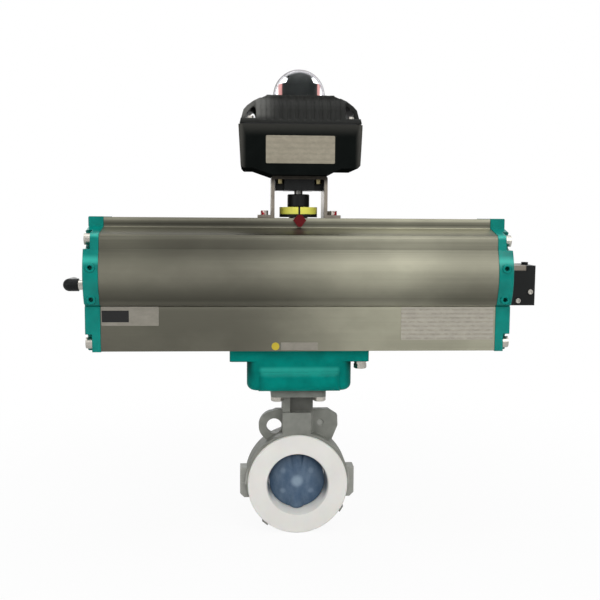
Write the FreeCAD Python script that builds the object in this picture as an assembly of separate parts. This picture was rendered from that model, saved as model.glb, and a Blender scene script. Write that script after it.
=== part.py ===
"""Lined wafer butterfly valve with a spring-return rack and pinion actuator and a limit switch box.

Millimetres. The origin is where the stem axis crosses the bore axis. +Z runs up the stem,
the pipe runs along Y, and the actuator lies along X.
"""
import FreeCAD
import Part
import math
import os

# Liner: one moulding that lines the passage and folds over both body faces
FACE_TO_FACE = 46.0
SEAT_R = 34.0
SEAT_HALF_WIDTH = 6.0
MOUTH_R = 37.2
LIP_R = 59.5
LIP_THICK = 3.5
LIP_EDGE = 1.0
LINER_WALL = 3.2
BACKING_THICK = 3.8
BACKING_HALF_WIDTH = 13.0
PORT_COLLAR = 3.0

# Disc and stem, one forging
DISC_GAP = 0.35
DISC_EDGE_HALF = 3.2
DISC_CENTRE_HALF = 8.9
HUB_WALL = 1.2
STEM_R = 8.0
STEM_FOOT_Z = -52.0
STEM_SQUARE = 11.0
STEM_SQUARE_LENGTH = 22.0
STEM_GAP = 0.05

# Stem bearings and seals
BUSH_WALL = 2.0
LOWER_BUSH_LENGTH = 9.0
SEAL_LENGTH = 9.0
WIPER_LENGTH = 5.0

# Split body
BODY_GAP = 0.05
UPPER_RING_R = 62.5
LOWER_RING_R = 59.0
JOINT_EAR_X = 68.6
JOINT_EAR_HALF_Y = 10.0
JOINT_EAR_TOP = 17.0
JOINT_EAR_FOOT = 19.0
JOINT_EAR_CHAMFER = 5.0
JOINT_SCREW_X = 57.5
BOLT_CIRCLE_R = 72.5
BOLT_HOLE_R = 9.2
BOLT_ANGLE = 22.5
EAR_WALL = 9.3
EAR_TOP = 20.2
EAR_HALF_Y = 5.0
PLAIN_EAR = ((9.4, EAR_TOP), (20.6, 12.8), (21.1, 0.5), (14.0, -16.7))
DIMPLE_R = 4.0
CASTING_LUG_R = 62.0
CASTING_LUG_HALF = 4.0
CASTING_LUG_ANGLES = (31.0, 129.0)
NECK_HALF_X = 18.2
NECK_HALF_Y = 12.5
NECK_RIB_WIDTH = 9.0
NECK_RIB_HALF_Y = 17.5
NECK_BOSS_TOP = 86.3
NECK_BOSS_SHORT = 2.4
TOP_FLANGE_Z = 117.9
TOP_FLANGE_THICK = 10.3
TOP_FLANGE_HALF = 32.3
TOP_FLANGE_CORNER = 6.0
TOP_BOLT_OFFSET = 24.75

# Screws: shank radius, head radius or across flats, head height
M5 = (2.5, 4.25, 5.0)
M6 = (3.0, 5.0, 6.0)
M8 = (4.0, 6.5, 8.0)
M8_HEX = (4.0, 13.0, 5.3)
M4 = (2.0, 3.5, 2.6)
SCREW_GRIP = 9.0
SCREW_END_ROOM = 1.0
SOCKET_SHARE = 0.5
WASHER_THICK = 3.8
WASHER_R = 7.4

# Adapter between valve and actuator
ADAPTER_HEIGHT = 48.8
ADAPTER_HALF_X = 60.4
ADAPTER_HALF_Y = 48.0
ADAPTER_CORNER = 14.0
ADAPTER_FOOT_R = 8.0
ADAPTER_WALL = 8.0
ADAPTER_FLOOR = 9.1
ADAPTER_PLATE_THICK = 14.2
ADAPTER_PLATE_HALF_X = 80.0
ADAPTER_PAD_HALF_X = 47.0
ADAPTER_PAD_PROUD = 3.6
ADAPTER_PAD_HEIGHT = 23.5
ADAPTER_PAD_R = 7.5
ADAPTER_BOLT_X = 70.8
ADAPTER_BOLT_Y = 38.0
SLEEVE_R = 15.5
SLEEVE_FLOOR_R = 19.0
DRIVE_SQUARE = 17.0
DRIVE_SQUARE_LENGTH = 20.0
DRIVE_GAP = 0.1

# Actuator barrel, an extrusion bored through
BARREL_HALF_LENGTH = 222.3
BARREL_AXIS_UP = 84.3
BARREL_HEIGHT = 149.4
BARREL_R = 70.0
BORE_R = 56.0
FLAT_HALF_Y = 59.5
FLAT_HEIGHT = 50.3
GROOVE_WIDTH = 2.5
GROOVE_DEPTH = 1.2
RAIL_HALF_Y = 29.0
RAIL_DROP = 11.1
SHOULDER_HALF_Y = 57.0
SHOULDER_DROP = 7.0
SHOULDER_R = 5.0
BULGE_TOP_UP = 30.0
PORT_SPACING = 24.0
PORT_R = 5.6
PORT_UP = 25.0
PORT_SCREW_X = 16.0
PORT_SCREW_Z = 12.0

# Accessory hole pattern on the rail
RAIL_SCREW_X = 40.0
RAIL_SCREW_Y = 15.0

# End caps
CAP_THICK = 17.3
CAP_PROUD = 0.6
CAP_EDGE_R = 2.0
CAP_CORNER_THICK = 9.5
CAP_SCREW_Y = 50.0
CAP_SCREW_HIGH = 40.5
CAP_SCREW_LOW = 75.5
CAP_POCKET_R = 10.5
CAP_LIP_LENGTH = 6.0
CAP_LIP_WALL = 5.0
CAP_SEAL_SETBACK = 1.0
CAP_SEAL_WIDTH = 2.6
CAP_SEAL_DEPTH = 1.5
CAP_SCREW_HOLE = 22.0
CAP_BOSS_R = 5.2
CAP_BOSS_PROUD = 1.6
CAP_BOSS_HOLE_R = 2.6
CAP_BOSS_UP = (10.0, -25.5)

# Rack and pinion
MODULE = 3.0
TEETH = 18
PRESSURE_ANGLE = 20.0
ADDENDUM = 2.9
DEDENDUM = 3.7
BACKLASH = 0.3
GEAR_HALF_HEIGHT = 15.0
RACK_HALF_HEIGHT = 17.0
RACK_FIRST_TOOTH = -5
RACK_LAST_TOOTH = 1
RACK_TIP_X = 54.0
RACK_BACK_R = 50.0
TIP_TO_HEAD_GAP = 4.0
JOURNAL_R = 20.0
TOP_JOURNAL_R = 16.0
JOURNAL_STEP = 6.0
LOWER_BEARING_UP = 26.0
BEARING_WALL = 3.0
BEARING_GAP = 0.08
PINION_FOOT_UP = 2.0
INDICATOR_SPIGOT_R = 11.0
INDICATOR_SPIGOT_TOP = 6.0

# Pistons and springs
HEAD_THICK = 22.0
PISTON_GAP = 0.4
RING_GAP = 0.1
RING_WIDTH = 5.0
RING_DEPTH = 4.0
RING_FROM_BACK = 7.0
PAD_HALF_HEIGHT = 9.0
PAD_LENGTH = 28.0
PAD_GAP = 0.3
SPRING_R = 27.0
WIRE = 5.0
SPRING_TURNS = 6.0
SPRING_BOSS_LENGTH = 9.0

# Position puck on the pinion
PUCK_R = 22.2
PUCK_FOOT_GAP = 0.9
PUCK_HEIGHT = 11.8
PUCK_BASE = 3.6
PUCK_SPLIT = 2.2
PUCK_INSERT_DEPTH = 4.0
POINTER_HALF = 7.5
POINTER_THICK = 3.0

# Coupling and bracket
COUPLING_R = 12.9
COUPLING_HEIGHT = 15.0
COUPLING_TONGUE = 4.0
BRACKET_TOP_Z = 364.5
BRACKET_THICK = 4.0
BRACKET_HALF_X = 32.6
BRACKET_HALF_Y = 22.0
FOOT_HALF_X = 48.0
FOOT_THICK = 3.5
BRACKET_BEND_R = 3.0

# Switch box
SPACER_HALF_X = 27.5
SPACER_HALF_Y = 21.0
SPACER_HEIGHT = 12.5
SPACER_SCREW_X = 22.0
SPACER_SCREW_BITE = 2.8
BOX_HALF_X = 69.9
BOX_FOOT_HALF_X = 67.4
BOX_HALF_Y = 46.0
BOX_CORNER = 7.0
BOX_HEIGHT = 55.9
BOX_TAPER_HEIGHT = 7.5
BOX_TAPER_LEFT = 54.0
BOX_TAPER_RIGHT = 46.0
BOX_TAPER_FOOT_HALF_X = 32.2
BOX_WALL = 4.0
BOX_CHAMFER = 3.0
COVER_SEAM = 1.0
COVER_STEP = 1.5
COVER_BAND = 4.0
COVER_CROWN_SPREAD = 4.5
COVER_WALL = 3.0
COVER_HEIGHT = 32.8
COVER_INSETS = ((0.0, 1.5), (5.0, 2.6), (16.0, 5.6), (20.5, 9.6), (24.5, 15.0), (28.5, 22.0), (32.8, 32.0))
FLUTE_STEP = 9.0
FLUTE_WIDTH = 5.0
FLUTE_DEPTH = 1.2
FLUTE_COUNT = 9
COVER_SCREW_X = 56.4
COVER_SCREW_Y = 38.5
COVER_SCREW_POCKET_R = 6.2
COVER_LUG_HEIGHT = 5.5
ENTRY_R = 10.0
ENTRY_X = 34.0
ENTRY_UP = 30.0
ENTRY_PLUG_HEX = 24.0

# Beacon on the cover
DOME_R = 30.0
DOME_SKIRT = 3.0
DOME_HEIGHT = 32.7
DOME_WALL = 2.0
DRUM_R = 24.5
DRUM_GAP = 1.0
DRUM_FOOT_GAP = 0.8
DRUM_MASK_ANGLE = 42.0
DRUM_CROWN_R = 18.0
DRUM_CROWN_THICK = 5.0
DRUM_HUB_WALL = 4.0
VANE_HEIGHT = 15.0

# Switch shaft and switches
SHAFT_R = 5.0
SHAFT_PROUD = 14.0
CAM_R = 10.0
CAM_HEIGHT = 7.0
CAM_UP = (20.0, 30.0)
SWITCH_GAP = 1.2
SWITCH_SIZE = (20.0, 7.0, 10.0)
TERMINAL_SIZE = (54.0, 12.0, 16.0)
TERMINAL_WAYS = 6

# Air fittings
ELBOW_UP = -14.5
ELBOW_R = 7.5
ELBOW_REACH = 35.8
ELBOW_LEG = 24.0
STUB_R = 6.0
STUB_THREAD_R = 5.0
STUB_THREAD = 10.0
STUB_HEX = 14.0
STUB_HEX_LENGTH = 8.0
STUB_LENGTH = 21.0
STUB_SHOWN = 17.6
COLLET_R = 6.7
COLLET_STEP = 1.2
COLLET_DEPTH = 5.0
COLLET_LENGTH = 3.0
TUBE_R = 4.1
PILOT_REACH = 40.0
PILOT_HALF_Y = 25.0
PILOT_LOW = -36.0
PILOT_HIGH = 11.0
PILOT_PLATE_SHARE = 29.0
PILOT_PLATE_THICK = 6.0
BUTTON_R = 4.0
BUTTON_WELL = 10.0
BUTTON_PROUD = 3.0
BUTTON_TRAVEL = 2.0
BUTTON_GAP = 0.2

# Places that follow from the sizes above
HALF_FACE = FACE_TO_FACE / 2
BODY_HALF_Y = HALF_FACE - LIP_THICK
BACKING_R = SEAT_R + LINER_WALL
POCKET_R = BACKING_R + BACKING_THICK
DISC_R = SEAT_R - DISC_GAP
STEM_TOP_Z = TOP_FLANGE_Z + STEM_SQUARE_LENGTH - 2.0
ADAPTER_TOP_Z = TOP_FLANGE_Z + ADAPTER_HEIGHT
AXIS_Z = ADAPTER_TOP_Z + BARREL_AXIS_UP
RAIL_Z = ADAPTER_TOP_Z + BARREL_HEIGHT
PITCH_R = MODULE * TEETH / 2
PITCH = math.pi * MODULE
STROKE = PITCH_R * math.pi / 2
HEAD_X = RACK_TIP_X + TIP_TO_HEAD_GAP
HEAD_BACK_X = HEAD_X + HEAD_THICK
CAP_X = BARREL_HALF_LENGTH + CAP_THICK
PINION_FOOT_Z = ADAPTER_TOP_Z + PINION_FOOT_UP
PUCK_Z = RAIL_Z + PUCK_FOOT_GAP
COUPLING_Z = PUCK_Z + PUCK_HEIGHT
COUPLING_TOP_Z = COUPLING_Z + COUPLING_HEIGHT
WEB_FOOT_Z = BRACKET_TOP_Z - BRACKET_THICK
SPACER_Z = WEB_FOOT_Z - SPACER_HEIGHT
BOX_TOP_Z = BRACKET_TOP_Z + BOX_HEIGHT
COVER_Z = BOX_TOP_Z + COVER_SEAM
DOME_Z = COVER_Z + COVER_HEIGHT
SHAFT_TOP_Z = DOME_Z + SHAFT_PROUD

ORIGIN = FreeCAD.Vector(0, 0, 0)
X_AXIS = FreeCAD.Vector(1, 0, 0)
Y_AXIS = FreeCAD.Vector(0, 1, 0)
Z_AXIS = FreeCAD.Vector(0, 0, 1)
SIDES = (-1, 1)


def at(x, y, z):
    return FreeCAD.Vector(x, y, z)


def block(x0, x1, y0, y1, z0, z1):
    return Part.makeBox(x1 - x0, y1 - y0, z1 - z0, at(x0, y0, z0))


def rod_x(radius, x0, x1, y, z):
    return Part.makeCylinder(radius, abs(x1 - x0), at(min(x0, x1), y, z), X_AXIS)


def rod_y(radius, y0, y1, x, z):
    return Part.makeCylinder(radius, abs(y1 - y0), at(x, min(y0, y1), z), Y_AXIS)


def rod_z(radius, z0, z1, x=0.0, y=0.0):
    return Part.makeCylinder(radius, abs(z1 - z0), at(x, y, min(z0, z1)), Z_AXIS)


def ring_z(outer, inner, z0, z1):
    return rod_z(outer, z0, z1).cut(rod_z(inner, z0, z1))


def prism(points, along):
    """A closed polygon swept along a vector."""
    return Part.Face(Part.makePolygon(points + points[:1])).extrude(along)


def turned_y(edges):
    """A closed run of edges in the XY plane turned about the bore axis."""
    return Part.Face(Part.Wire(edges)).revolve(ORIGIN, Y_AXIS, 360)


def turned_z(points):
    """(radius, z) points turned about the stem axis."""
    corners = [at(r, 0, z) for r, z in points]
    return Part.Face(Part.makePolygon(corners + corners[:1])).revolve(ORIGIN, Z_AXIS, 360)


def joined(shapes):
    """Touching shapes as one solid with no seams."""
    first, *rest = shapes
    return first.multiFuse(rest).removeSplitter() if rest else first


def bars(shape, axis):
    """The straight edges that run along one axis."""
    found = []
    for edge in shape.Edges:
        if edge.Curve.TypeId == "Part::GeomLine" and abs(edge.Curve.Direction.dot(axis)) > 0.999:
            found.append(edge)
    return found


def rounded_block(half_x, half_y, corner, z0, z1):
    body = block(-half_x, half_x, -half_y, half_y, z0, z1)
    return body.makeFillet(corner, bars(body, Z_AXIS))


def hex_z(flats, z0, z1, x=0.0, y=0.0):
    reach = flats / math.sqrt(3)
    corners = []
    for k in range(6):
        turn = math.radians(60 * k)
        corners.append(at(x + reach * math.cos(turn), y + reach * math.sin(turn), z0))
    return prism(corners, at(0, 0, z1 - z0))


def square_z(side, z0, z1):
    return block(-side / 2, side / 2, -side / 2, side / 2, z0, z1)


def laid_along_x(shape, end_x, y, z, direction):
    """A shape built upwards from the origin, laid over to point along +X or -X from end_x."""
    turned = shape.copy()
    turned.rotate(ORIGIN, Y_AXIS, 90 * direction)
    turned.translate(at(end_x, y, z))
    return turned


def laid_along_y(shape, x, end_y, z, direction):
    """The same, pointing along +Y or -Y from end_y."""
    turned = shape.copy()
    turned.rotate(ORIGIN, X_AXIS, -90 * direction)
    turned.translate(at(x, end_y, z))
    return turned


def socket_screw(size, grip):
    """Cap screw standing on its seat at the origin: head up, shank down, hex socket in the head."""
    shank_r, head_r, head_height = size
    head = rod_z(head_r, 0, head_height)
    socket = hex_z(2 * shank_r * 0.8, head_height * SOCKET_SHARE, head_height)
    return joined([head.cut(socket), rod_z(shank_r, -grip, 0)])


def hex_screw(size, grip, washer=0.0):
    """Hexagon head screw standing on its seat at the origin, head up, with washers under the head."""
    shank_r, flats, head_height = size
    top = washer + head_height
    head = hex_z(flats, washer, top).common(turned_z([
        (0, 0), (flats * 0.6, 0), (flats * 0.6, top - 0.9), (flats * 0.5, top), (0, top)]))
    shapes = [head, rod_z(shank_r, -grip, washer + 1.0)]
    if washer:
        shapes.append(rod_z(WASHER_R, 0, washer * 0.45))
        shapes.append(rod_z(WASHER_R * 0.92, washer * 0.45, washer))
    return joined(shapes)


def placed(shape, x, y, z, flipped=False):
    """A copy of a screw set on its seat, head down when flipped."""
    copy = shape.copy()
    if flipped:
        copy.rotate(ORIGIN, X_AXIS, 180)
    copy.translate(at(x, y, z))
    return copy


def corners_of(x, y):
    return [(sx * x, sy * y) for sx in SIDES for sy in SIDES]


# Valve

def liner_profile():
    """Half section above the XY plane: seat land, flared mouth, lip over the body face, back channel."""
    edges = []
    for side in SIDES:
        seat_end = at(SEAT_R, side * SEAT_HALF_WIDTH, 0)
        mouth = at(MOUTH_R, side * HALF_FACE, 0)
        middle = at(SEAT_R + 0.32 * (MOUTH_R - SEAT_R), side * (0.45 * SEAT_HALF_WIDTH + 0.55 * HALF_FACE), 0)
        face_end = at(LIP_R - LIP_EDGE, side * HALF_FACE, 0)
        rim = at(LIP_R, side * (HALF_FACE - LIP_EDGE), 0)
        lip_back = at(LIP_R, side * BODY_HALF_Y, 0)
        lip_root = at(POCKET_R, side * BODY_HALF_Y, 0)
        shoulder = at(POCKET_R, side * (BACKING_HALF_WIDTH + 1.5), 0)
        channel = at(BACKING_R, side * BACKING_HALF_WIDTH, 0)
        edges.append(Part.Arc(seat_end, middle, mouth).toShape())
        edges.append(Part.makeLine(mouth, face_end))
        edges.append(Part.makeLine(face_end, rim))
        edges.append(Part.makeLine(rim, lip_back))
        edges.append(Part.makeLine(lip_back, lip_root))
        edges.append(Part.makeLine(lip_root, shoulder))
        edges.append(Part.makeLine(shoulder, channel))
    edges.append(Part.makeLine(at(SEAT_R, -SEAT_HALF_WIDTH, 0), at(SEAT_R, SEAT_HALF_WIDTH, 0)))
    edges.append(Part.makeLine(at(BACKING_R, -BACKING_HALF_WIDTH, 0), at(BACKING_R, BACKING_HALF_WIDTH, 0)))
    return Part.__sortEdges__(edges)


def liner():
    shell = turned_y(liner_profile())
    passage = rod_y(SEAT_R + 0.5, -HALF_FACE, HALF_FACE, 0, 0)
    collar = rod_z(STEM_R + PORT_COLLAR, -POCKET_R, POCKET_R)
    lined = joined([shell, collar.cut(passage)])
    return lined.cut(rod_z(STEM_R + STEM_GAP, -POCKET_R - 1, POCKET_R + 1))


def liner_backing():
    ring = rod_y(POCKET_R, -BACKING_HALF_WIDTH, BACKING_HALF_WIDTH, 0, 0)
    ring = ring.cut(rod_y(BACKING_R, -BACKING_HALF_WIDTH, BACKING_HALF_WIDTH, 0, 0))
    collars = rod_z(STEM_R + PORT_COLLAR, -POCKET_R - 1, POCKET_R + 1)
    return ring.cut(collars)


def disc():
    """Domed disc with a spherical rim, carried by the stem that is forged with it."""
    rim = Part.makeSphere(DISC_R)
    rise = DISC_CENTRE_HALF - DISC_EDGE_HALF
    dome_r = (DISC_R ** 2 + rise ** 2) / (2 * rise)
    lens = rim
    for side in SIDES:
        centre = at(0, -side * (dome_r - DISC_CENTRE_HALF), 0)
        lens = lens.common(Part.makeSphere(dome_r, centre))
    hub = rod_z(STEM_R + HUB_WALL, -DISC_R, DISC_R).common(rim)
    stem = rod_z(STEM_R, STEM_FOOT_Z, STEM_TOP_Z)
    flats = square_z(STEM_SQUARE, STEM_TOP_Z - STEM_SQUARE_LENGTH, STEM_TOP_Z)
    shaft = stem.cut(rod_z(STEM_R + 1, STEM_TOP_Z - STEM_SQUARE_LENGTH, STEM_TOP_Z + 1).cut(flats))
    return joined([lens, hub, shaft])


def joint_ears(z0, z1):
    """Square lugs beside the ring that carry the joint screws."""
    lugs = []
    for side in SIDES:
        x0, x1 = sorted((side * (POCKET_R + 6), side * JOINT_EAR_X))
        lug = block(x0, x1, -JOINT_EAR_HALF_Y, JOINT_EAR_HALF_Y, z0, z1)
        lugs.append(lug)
    return lugs


def half_ring(radius, upper):
    ring = rod_y(radius, -BODY_HALF_Y, BODY_HALF_Y, 0, 0)
    reach = BOLT_CIRCLE_R + BOLT_HOLE_R + EAR_WALL
    if upper:
        keep = block(-reach, reach, -reach, reach, 0, reach)
    else:
        keep = block(-reach, reach, -reach, reach, -reach, 0)
    return ring.common(keep)


def lug_centre(side):
    turn = math.radians(BOLT_ANGLE)
    return side * BOLT_CIRCLE_R * math.sin(turn), BOLT_CIRCLE_R * math.cos(turn)


def bolt_ears():
    """Locating ears on the flange bolt circle: the left round and drilled, the right plain and bevelled."""
    ear_r = BOLT_HOLE_R + EAR_WALL
    front = -EAR_HALF_Y
    depth = at(0, 2 * EAR_HALF_Y, 0)
    root = POCKET_R + 5
    left_x, left_z = lug_centre(-1)
    right_x, right_z = lug_centre(1)
    round_ear = rod_y(ear_r, -EAR_HALF_Y, EAR_HALF_Y, left_x, left_z)
    web = prism([at(0, front, left_z + EAR_TOP), at(left_x + 2, front, left_z + EAR_TOP),
                 at(left_x - ear_r * 0.71, front, left_z + ear_r * 0.71),
                 at(left_x - ear_r * 0.87, front, left_z - ear_r * 0.5),
                 at(left_x, front, left_z - ear_r), at(0, front, root)], depth)
    outline = [at(0, front, right_z + PLAIN_EAR[0][1])]
    outline += [at(right_x + dx, front, right_z + dz) for dx, dz in PLAIN_EAR]
    plain = prism(outline + [at(0, front, root)], depth)
    hole = rod_y(BOLT_HOLE_R, -BODY_HALF_Y, BODY_HALF_Y, left_x, left_z)
    dimples = [rod_y(DIMPLE_R, side * EAR_HALF_Y, side * (EAR_HALF_Y - 2), right_x, right_z + DIMPLE_R)
               for side in SIDES]
    return joined([round_ear, web, plain]), [hole] + dimples


def neck():
    """Column from the ring to the top flange: core, one full-depth rib and a front boss at its foot."""
    foot = POCKET_R + 10
    under = TOP_FLANGE_Z - TOP_FLANGE_THICK
    core = block(-NECK_HALF_X, NECK_HALF_X, -NECK_HALF_Y, NECK_HALF_Y, foot, under)
    rib = block(-NECK_HALF_X, -NECK_HALF_X + NECK_RIB_WIDTH, -NECK_RIB_HALF_Y, NECK_RIB_HALF_Y, foot, under)
    boss = block(-NECK_HALF_X, NECK_HALF_X - NECK_BOSS_SHORT, -BODY_HALF_Y, BODY_HALF_Y, foot, NECK_BOSS_TOP)
    boss = boss.makeFillet(2.0, bars(boss, X_AXIS)[-2:])
    flange = rounded_block(TOP_FLANGE_HALF, TOP_FLANGE_HALF, TOP_FLANGE_CORNER, under, TOP_FLANGE_Z)
    return joined([core, rib, boss, flange])


def stem_passage():
    """Stepped hole up the neck for bushes, seal and wiper."""
    seat_r = STEM_R + BUSH_WALL
    foot = POCKET_R - 1
    return rod_z(seat_r, foot, TOP_FLANGE_Z + 1)


def body_upper():
    ears, ear_holes = bolt_ears()
    shape = joined([half_ring(UPPER_RING_R, True), ears, neck()] + joint_ears(0, JOINT_EAR_TOP))
    tools = [rod_y(POCKET_R, -BODY_HALF_Y - 1, BODY_HALF_Y + 1, 0, 0), stem_passage()] + ear_holes
    tools.append(rod_z(STEM_R + PORT_COLLAR, 0, POCKET_R + 1))
    for x, y in corners_of(TOP_BOLT_OFFSET, TOP_BOLT_OFFSET):
        tools.append(rod_z(M8_HEX[0], TOP_FLANGE_Z - TOP_FLANGE_THICK - 1, TOP_FLANGE_Z + 1, x, y))
    for side in SIDES:
        tools.append(rod_z(M6[0], -1, JOINT_EAR_TOP - 4, side * JOINT_SCREW_X, 0))
    return shape.cut(tools)


def casting_lugs():
    """Two small lugs left by the casting, just proud of the liner's lip."""
    lugs = []
    half = CASTING_LUG_HALF
    for angle in CASTING_LUG_ANGLES:
        lug = block(LOWER_RING_R - 3, CASTING_LUG_R, -BODY_HALF_Y, BODY_HALF_Y, -half, half)
        lug.rotate(ORIGIN, Y_AXIS, angle)
        lugs.append(lug)
    return lugs


def body_lower():
    ring = half_ring(LOWER_RING_R, False)
    boss = rod_z(STEM_R + BUSH_WALL + 5, STEM_FOOT_Z - 6, -POCKET_R)
    lugs = joint_ears(-JOINT_EAR_FOOT, 0)
    bevelled = []
    for side, lug in zip(SIDES, lugs):
        low = [e for e in bars(lug, Y_AXIS)
               if e.BoundBox.ZMax < -1 and side * e.BoundBox.Center.x > POCKET_R + 10]
        bevelled.append(lug.makeChamfer(JOINT_EAR_CHAMFER, low))
    shape = joined([ring, boss] + bevelled + casting_lugs())
    tools = [rod_y(POCKET_R, -BODY_HALF_Y - 1, BODY_HALF_Y + 1, 0, 0)]
    tools.append(rod_z(STEM_R + PORT_COLLAR, -POCKET_R - 1, 0))
    tools.append(rod_z(STEM_R + BUSH_WALL, STEM_FOOT_Z - 1, -POCKET_R + 1))
    for side in SIDES:
        tools.append(rod_z(M6[0], -JOINT_EAR_FOOT - 1, 1, side * JOINT_SCREW_X, 0))
        sink = -JOINT_EAR_FOOT + M6[2]
        tools.append(rod_z(M6[1] + 0.5, sink - 25, sink, side * JOINT_SCREW_X, 0))
    return shape.cut(tools)


def body_screws():
    screw = socket_screw(M6, JOINT_EAR_FOOT - M6[2] + JOINT_EAR_TOP - 5)
    seat = -JOINT_EAR_FOOT + M6[2]
    return [placed(screw, side * JOINT_SCREW_X, 0, seat, True) for side in SIDES]


def stem_bush_lower():
    foot = STEM_FOOT_Z - 1
    return ring_z(STEM_R + BUSH_WALL, STEM_R + STEM_GAP, foot, foot + LOWER_BUSH_LENGTH)


def upper_stack():
    """Heights in the neck where the bush starts above the seal and ends under the wiper."""
    return POCKET_R + 1 + SEAL_LENGTH, TOP_FLANGE_Z - WIPER_LENGTH


def stem_seal():
    bush_foot, bush_top = upper_stack()
    return ring_z(STEM_R + BUSH_WALL, STEM_R + STEM_GAP, bush_foot - SEAL_LENGTH, bush_foot)


def stem_bush_upper():
    bush_foot, bush_top = upper_stack()
    return ring_z(STEM_R + BUSH_WALL, STEM_R + STEM_GAP, bush_foot, bush_top)


def stem_wiper():
    bush_foot, bush_top = upper_stack()
    return ring_z(STEM_R + BUSH_WALL, STEM_R + STEM_GAP, bush_top, TOP_FLANGE_Z)


def flange_bolts():
    bolt = hex_screw(M8_HEX, TOP_FLANGE_THICK + ADAPTER_FLOOR - 1.5)
    seat = TOP_FLANGE_Z - TOP_FLANGE_THICK
    return [placed(bolt, x, y, seat, True) for x, y in corners_of(TOP_BOLT_OFFSET, TOP_BOLT_OFFSET)]


# Adapter

def adapter_housing():
    top = ADAPTER_TOP_Z
    core = rounded_block(ADAPTER_HALF_X, ADAPTER_HALF_Y, ADAPTER_CORNER, TOP_FLANGE_Z, top)
    rim = [e for e in core.Edges if e.BoundBox.ZMax < TOP_FLANGE_Z + 0.1]
    core = core.makeFillet(ADAPTER_FOOT_R, rim)
    plate = rounded_block(ADAPTER_PLATE_HALF_X, ADAPTER_HALF_Y, 4.0, top - ADAPTER_PLATE_THICK, top)
    pad_y = ADAPTER_HALF_Y + ADAPTER_PAD_PROUD
    pad_top = TOP_FLANGE_Z + ADAPTER_PAD_HEIGHT
    pad = block(-ADAPTER_PAD_HALF_X, ADAPTER_PAD_HALF_X, -pad_y, pad_y, TOP_FLANGE_Z, pad_top)
    pad = pad.makeFillet(ADAPTER_PAD_R, bars(pad, X_AXIS) + bars(pad, Z_AXIS))
    well = rounded_block(ADAPTER_HALF_X - ADAPTER_WALL, ADAPTER_HALF_Y - ADAPTER_WALL, ADAPTER_CORNER - 5,
                         TOP_FLANGE_Z + ADAPTER_FLOOR, top + 1)
    tools = [well, rod_z(SLEEVE_FLOOR_R, TOP_FLANGE_Z - 1, top)]
    for x, y in corners_of(TOP_BOLT_OFFSET, TOP_BOLT_OFFSET):
        tools.append(rod_z(M8_HEX[0], TOP_FLANGE_Z - 1, TOP_FLANGE_Z + ADAPTER_FLOOR + 1, x, y))
    under = top - ADAPTER_PLATE_THICK
    for x, y in corners_of(ADAPTER_BOLT_X, ADAPTER_BOLT_Y):
        tools.append(rod_z(M8[0], under - 1, top + 1, x, y))
        if x < 0:
            tools.append(rod_z(M8[1] + 0.5, under - 20, under + M8[2], x, y))
    return joined([core, plate, pad]).cut(tools)


def coupling_sleeve():
    """Steel sleeve: square hole on the stem, square spigot in the pinion."""
    foot = TOP_FLANGE_Z + 1.5
    shoulder = ADAPTER_TOP_Z - 0.5
    body = rod_z(SLEEVE_R, foot, shoulder)
    body = body.makeChamfer(1.0, [e for e in body.Edges if e.Curve.TypeId == "Part::GeomCircle"])
    spigot = square_z(DRIVE_SQUARE, shoulder, shoulder + DRIVE_SQUARE_LENGTH)
    socket = square_z(STEM_SQUARE + DRIVE_GAP, foot - 1, STEM_TOP_Z + 1)
    return joined([body, spigot]).cut(socket)


def adapter_bolts():
    """Two hexagon bolts under the right ear of the plate, two sunk cap screws on the left."""
    seat = ADAPTER_TOP_Z - ADAPTER_PLATE_THICK
    hex_bolt = hex_screw(M8_HEX, ADAPTER_PLATE_THICK + SCREW_GRIP, WASHER_THICK)
    sunk = socket_screw(M8, ADAPTER_PLATE_THICK - M8[2] + SCREW_GRIP)
    bolts = []
    for x, y in corners_of(ADAPTER_BOLT_X, ADAPTER_BOLT_Y):
        if x > 0:
            bolts.append(placed(hex_bolt, x, y, seat, True))
        else:
            bolts.append(placed(sunk, x, y, seat + M8[2], True))
    return bolts


# Actuator barrel and caps

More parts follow.
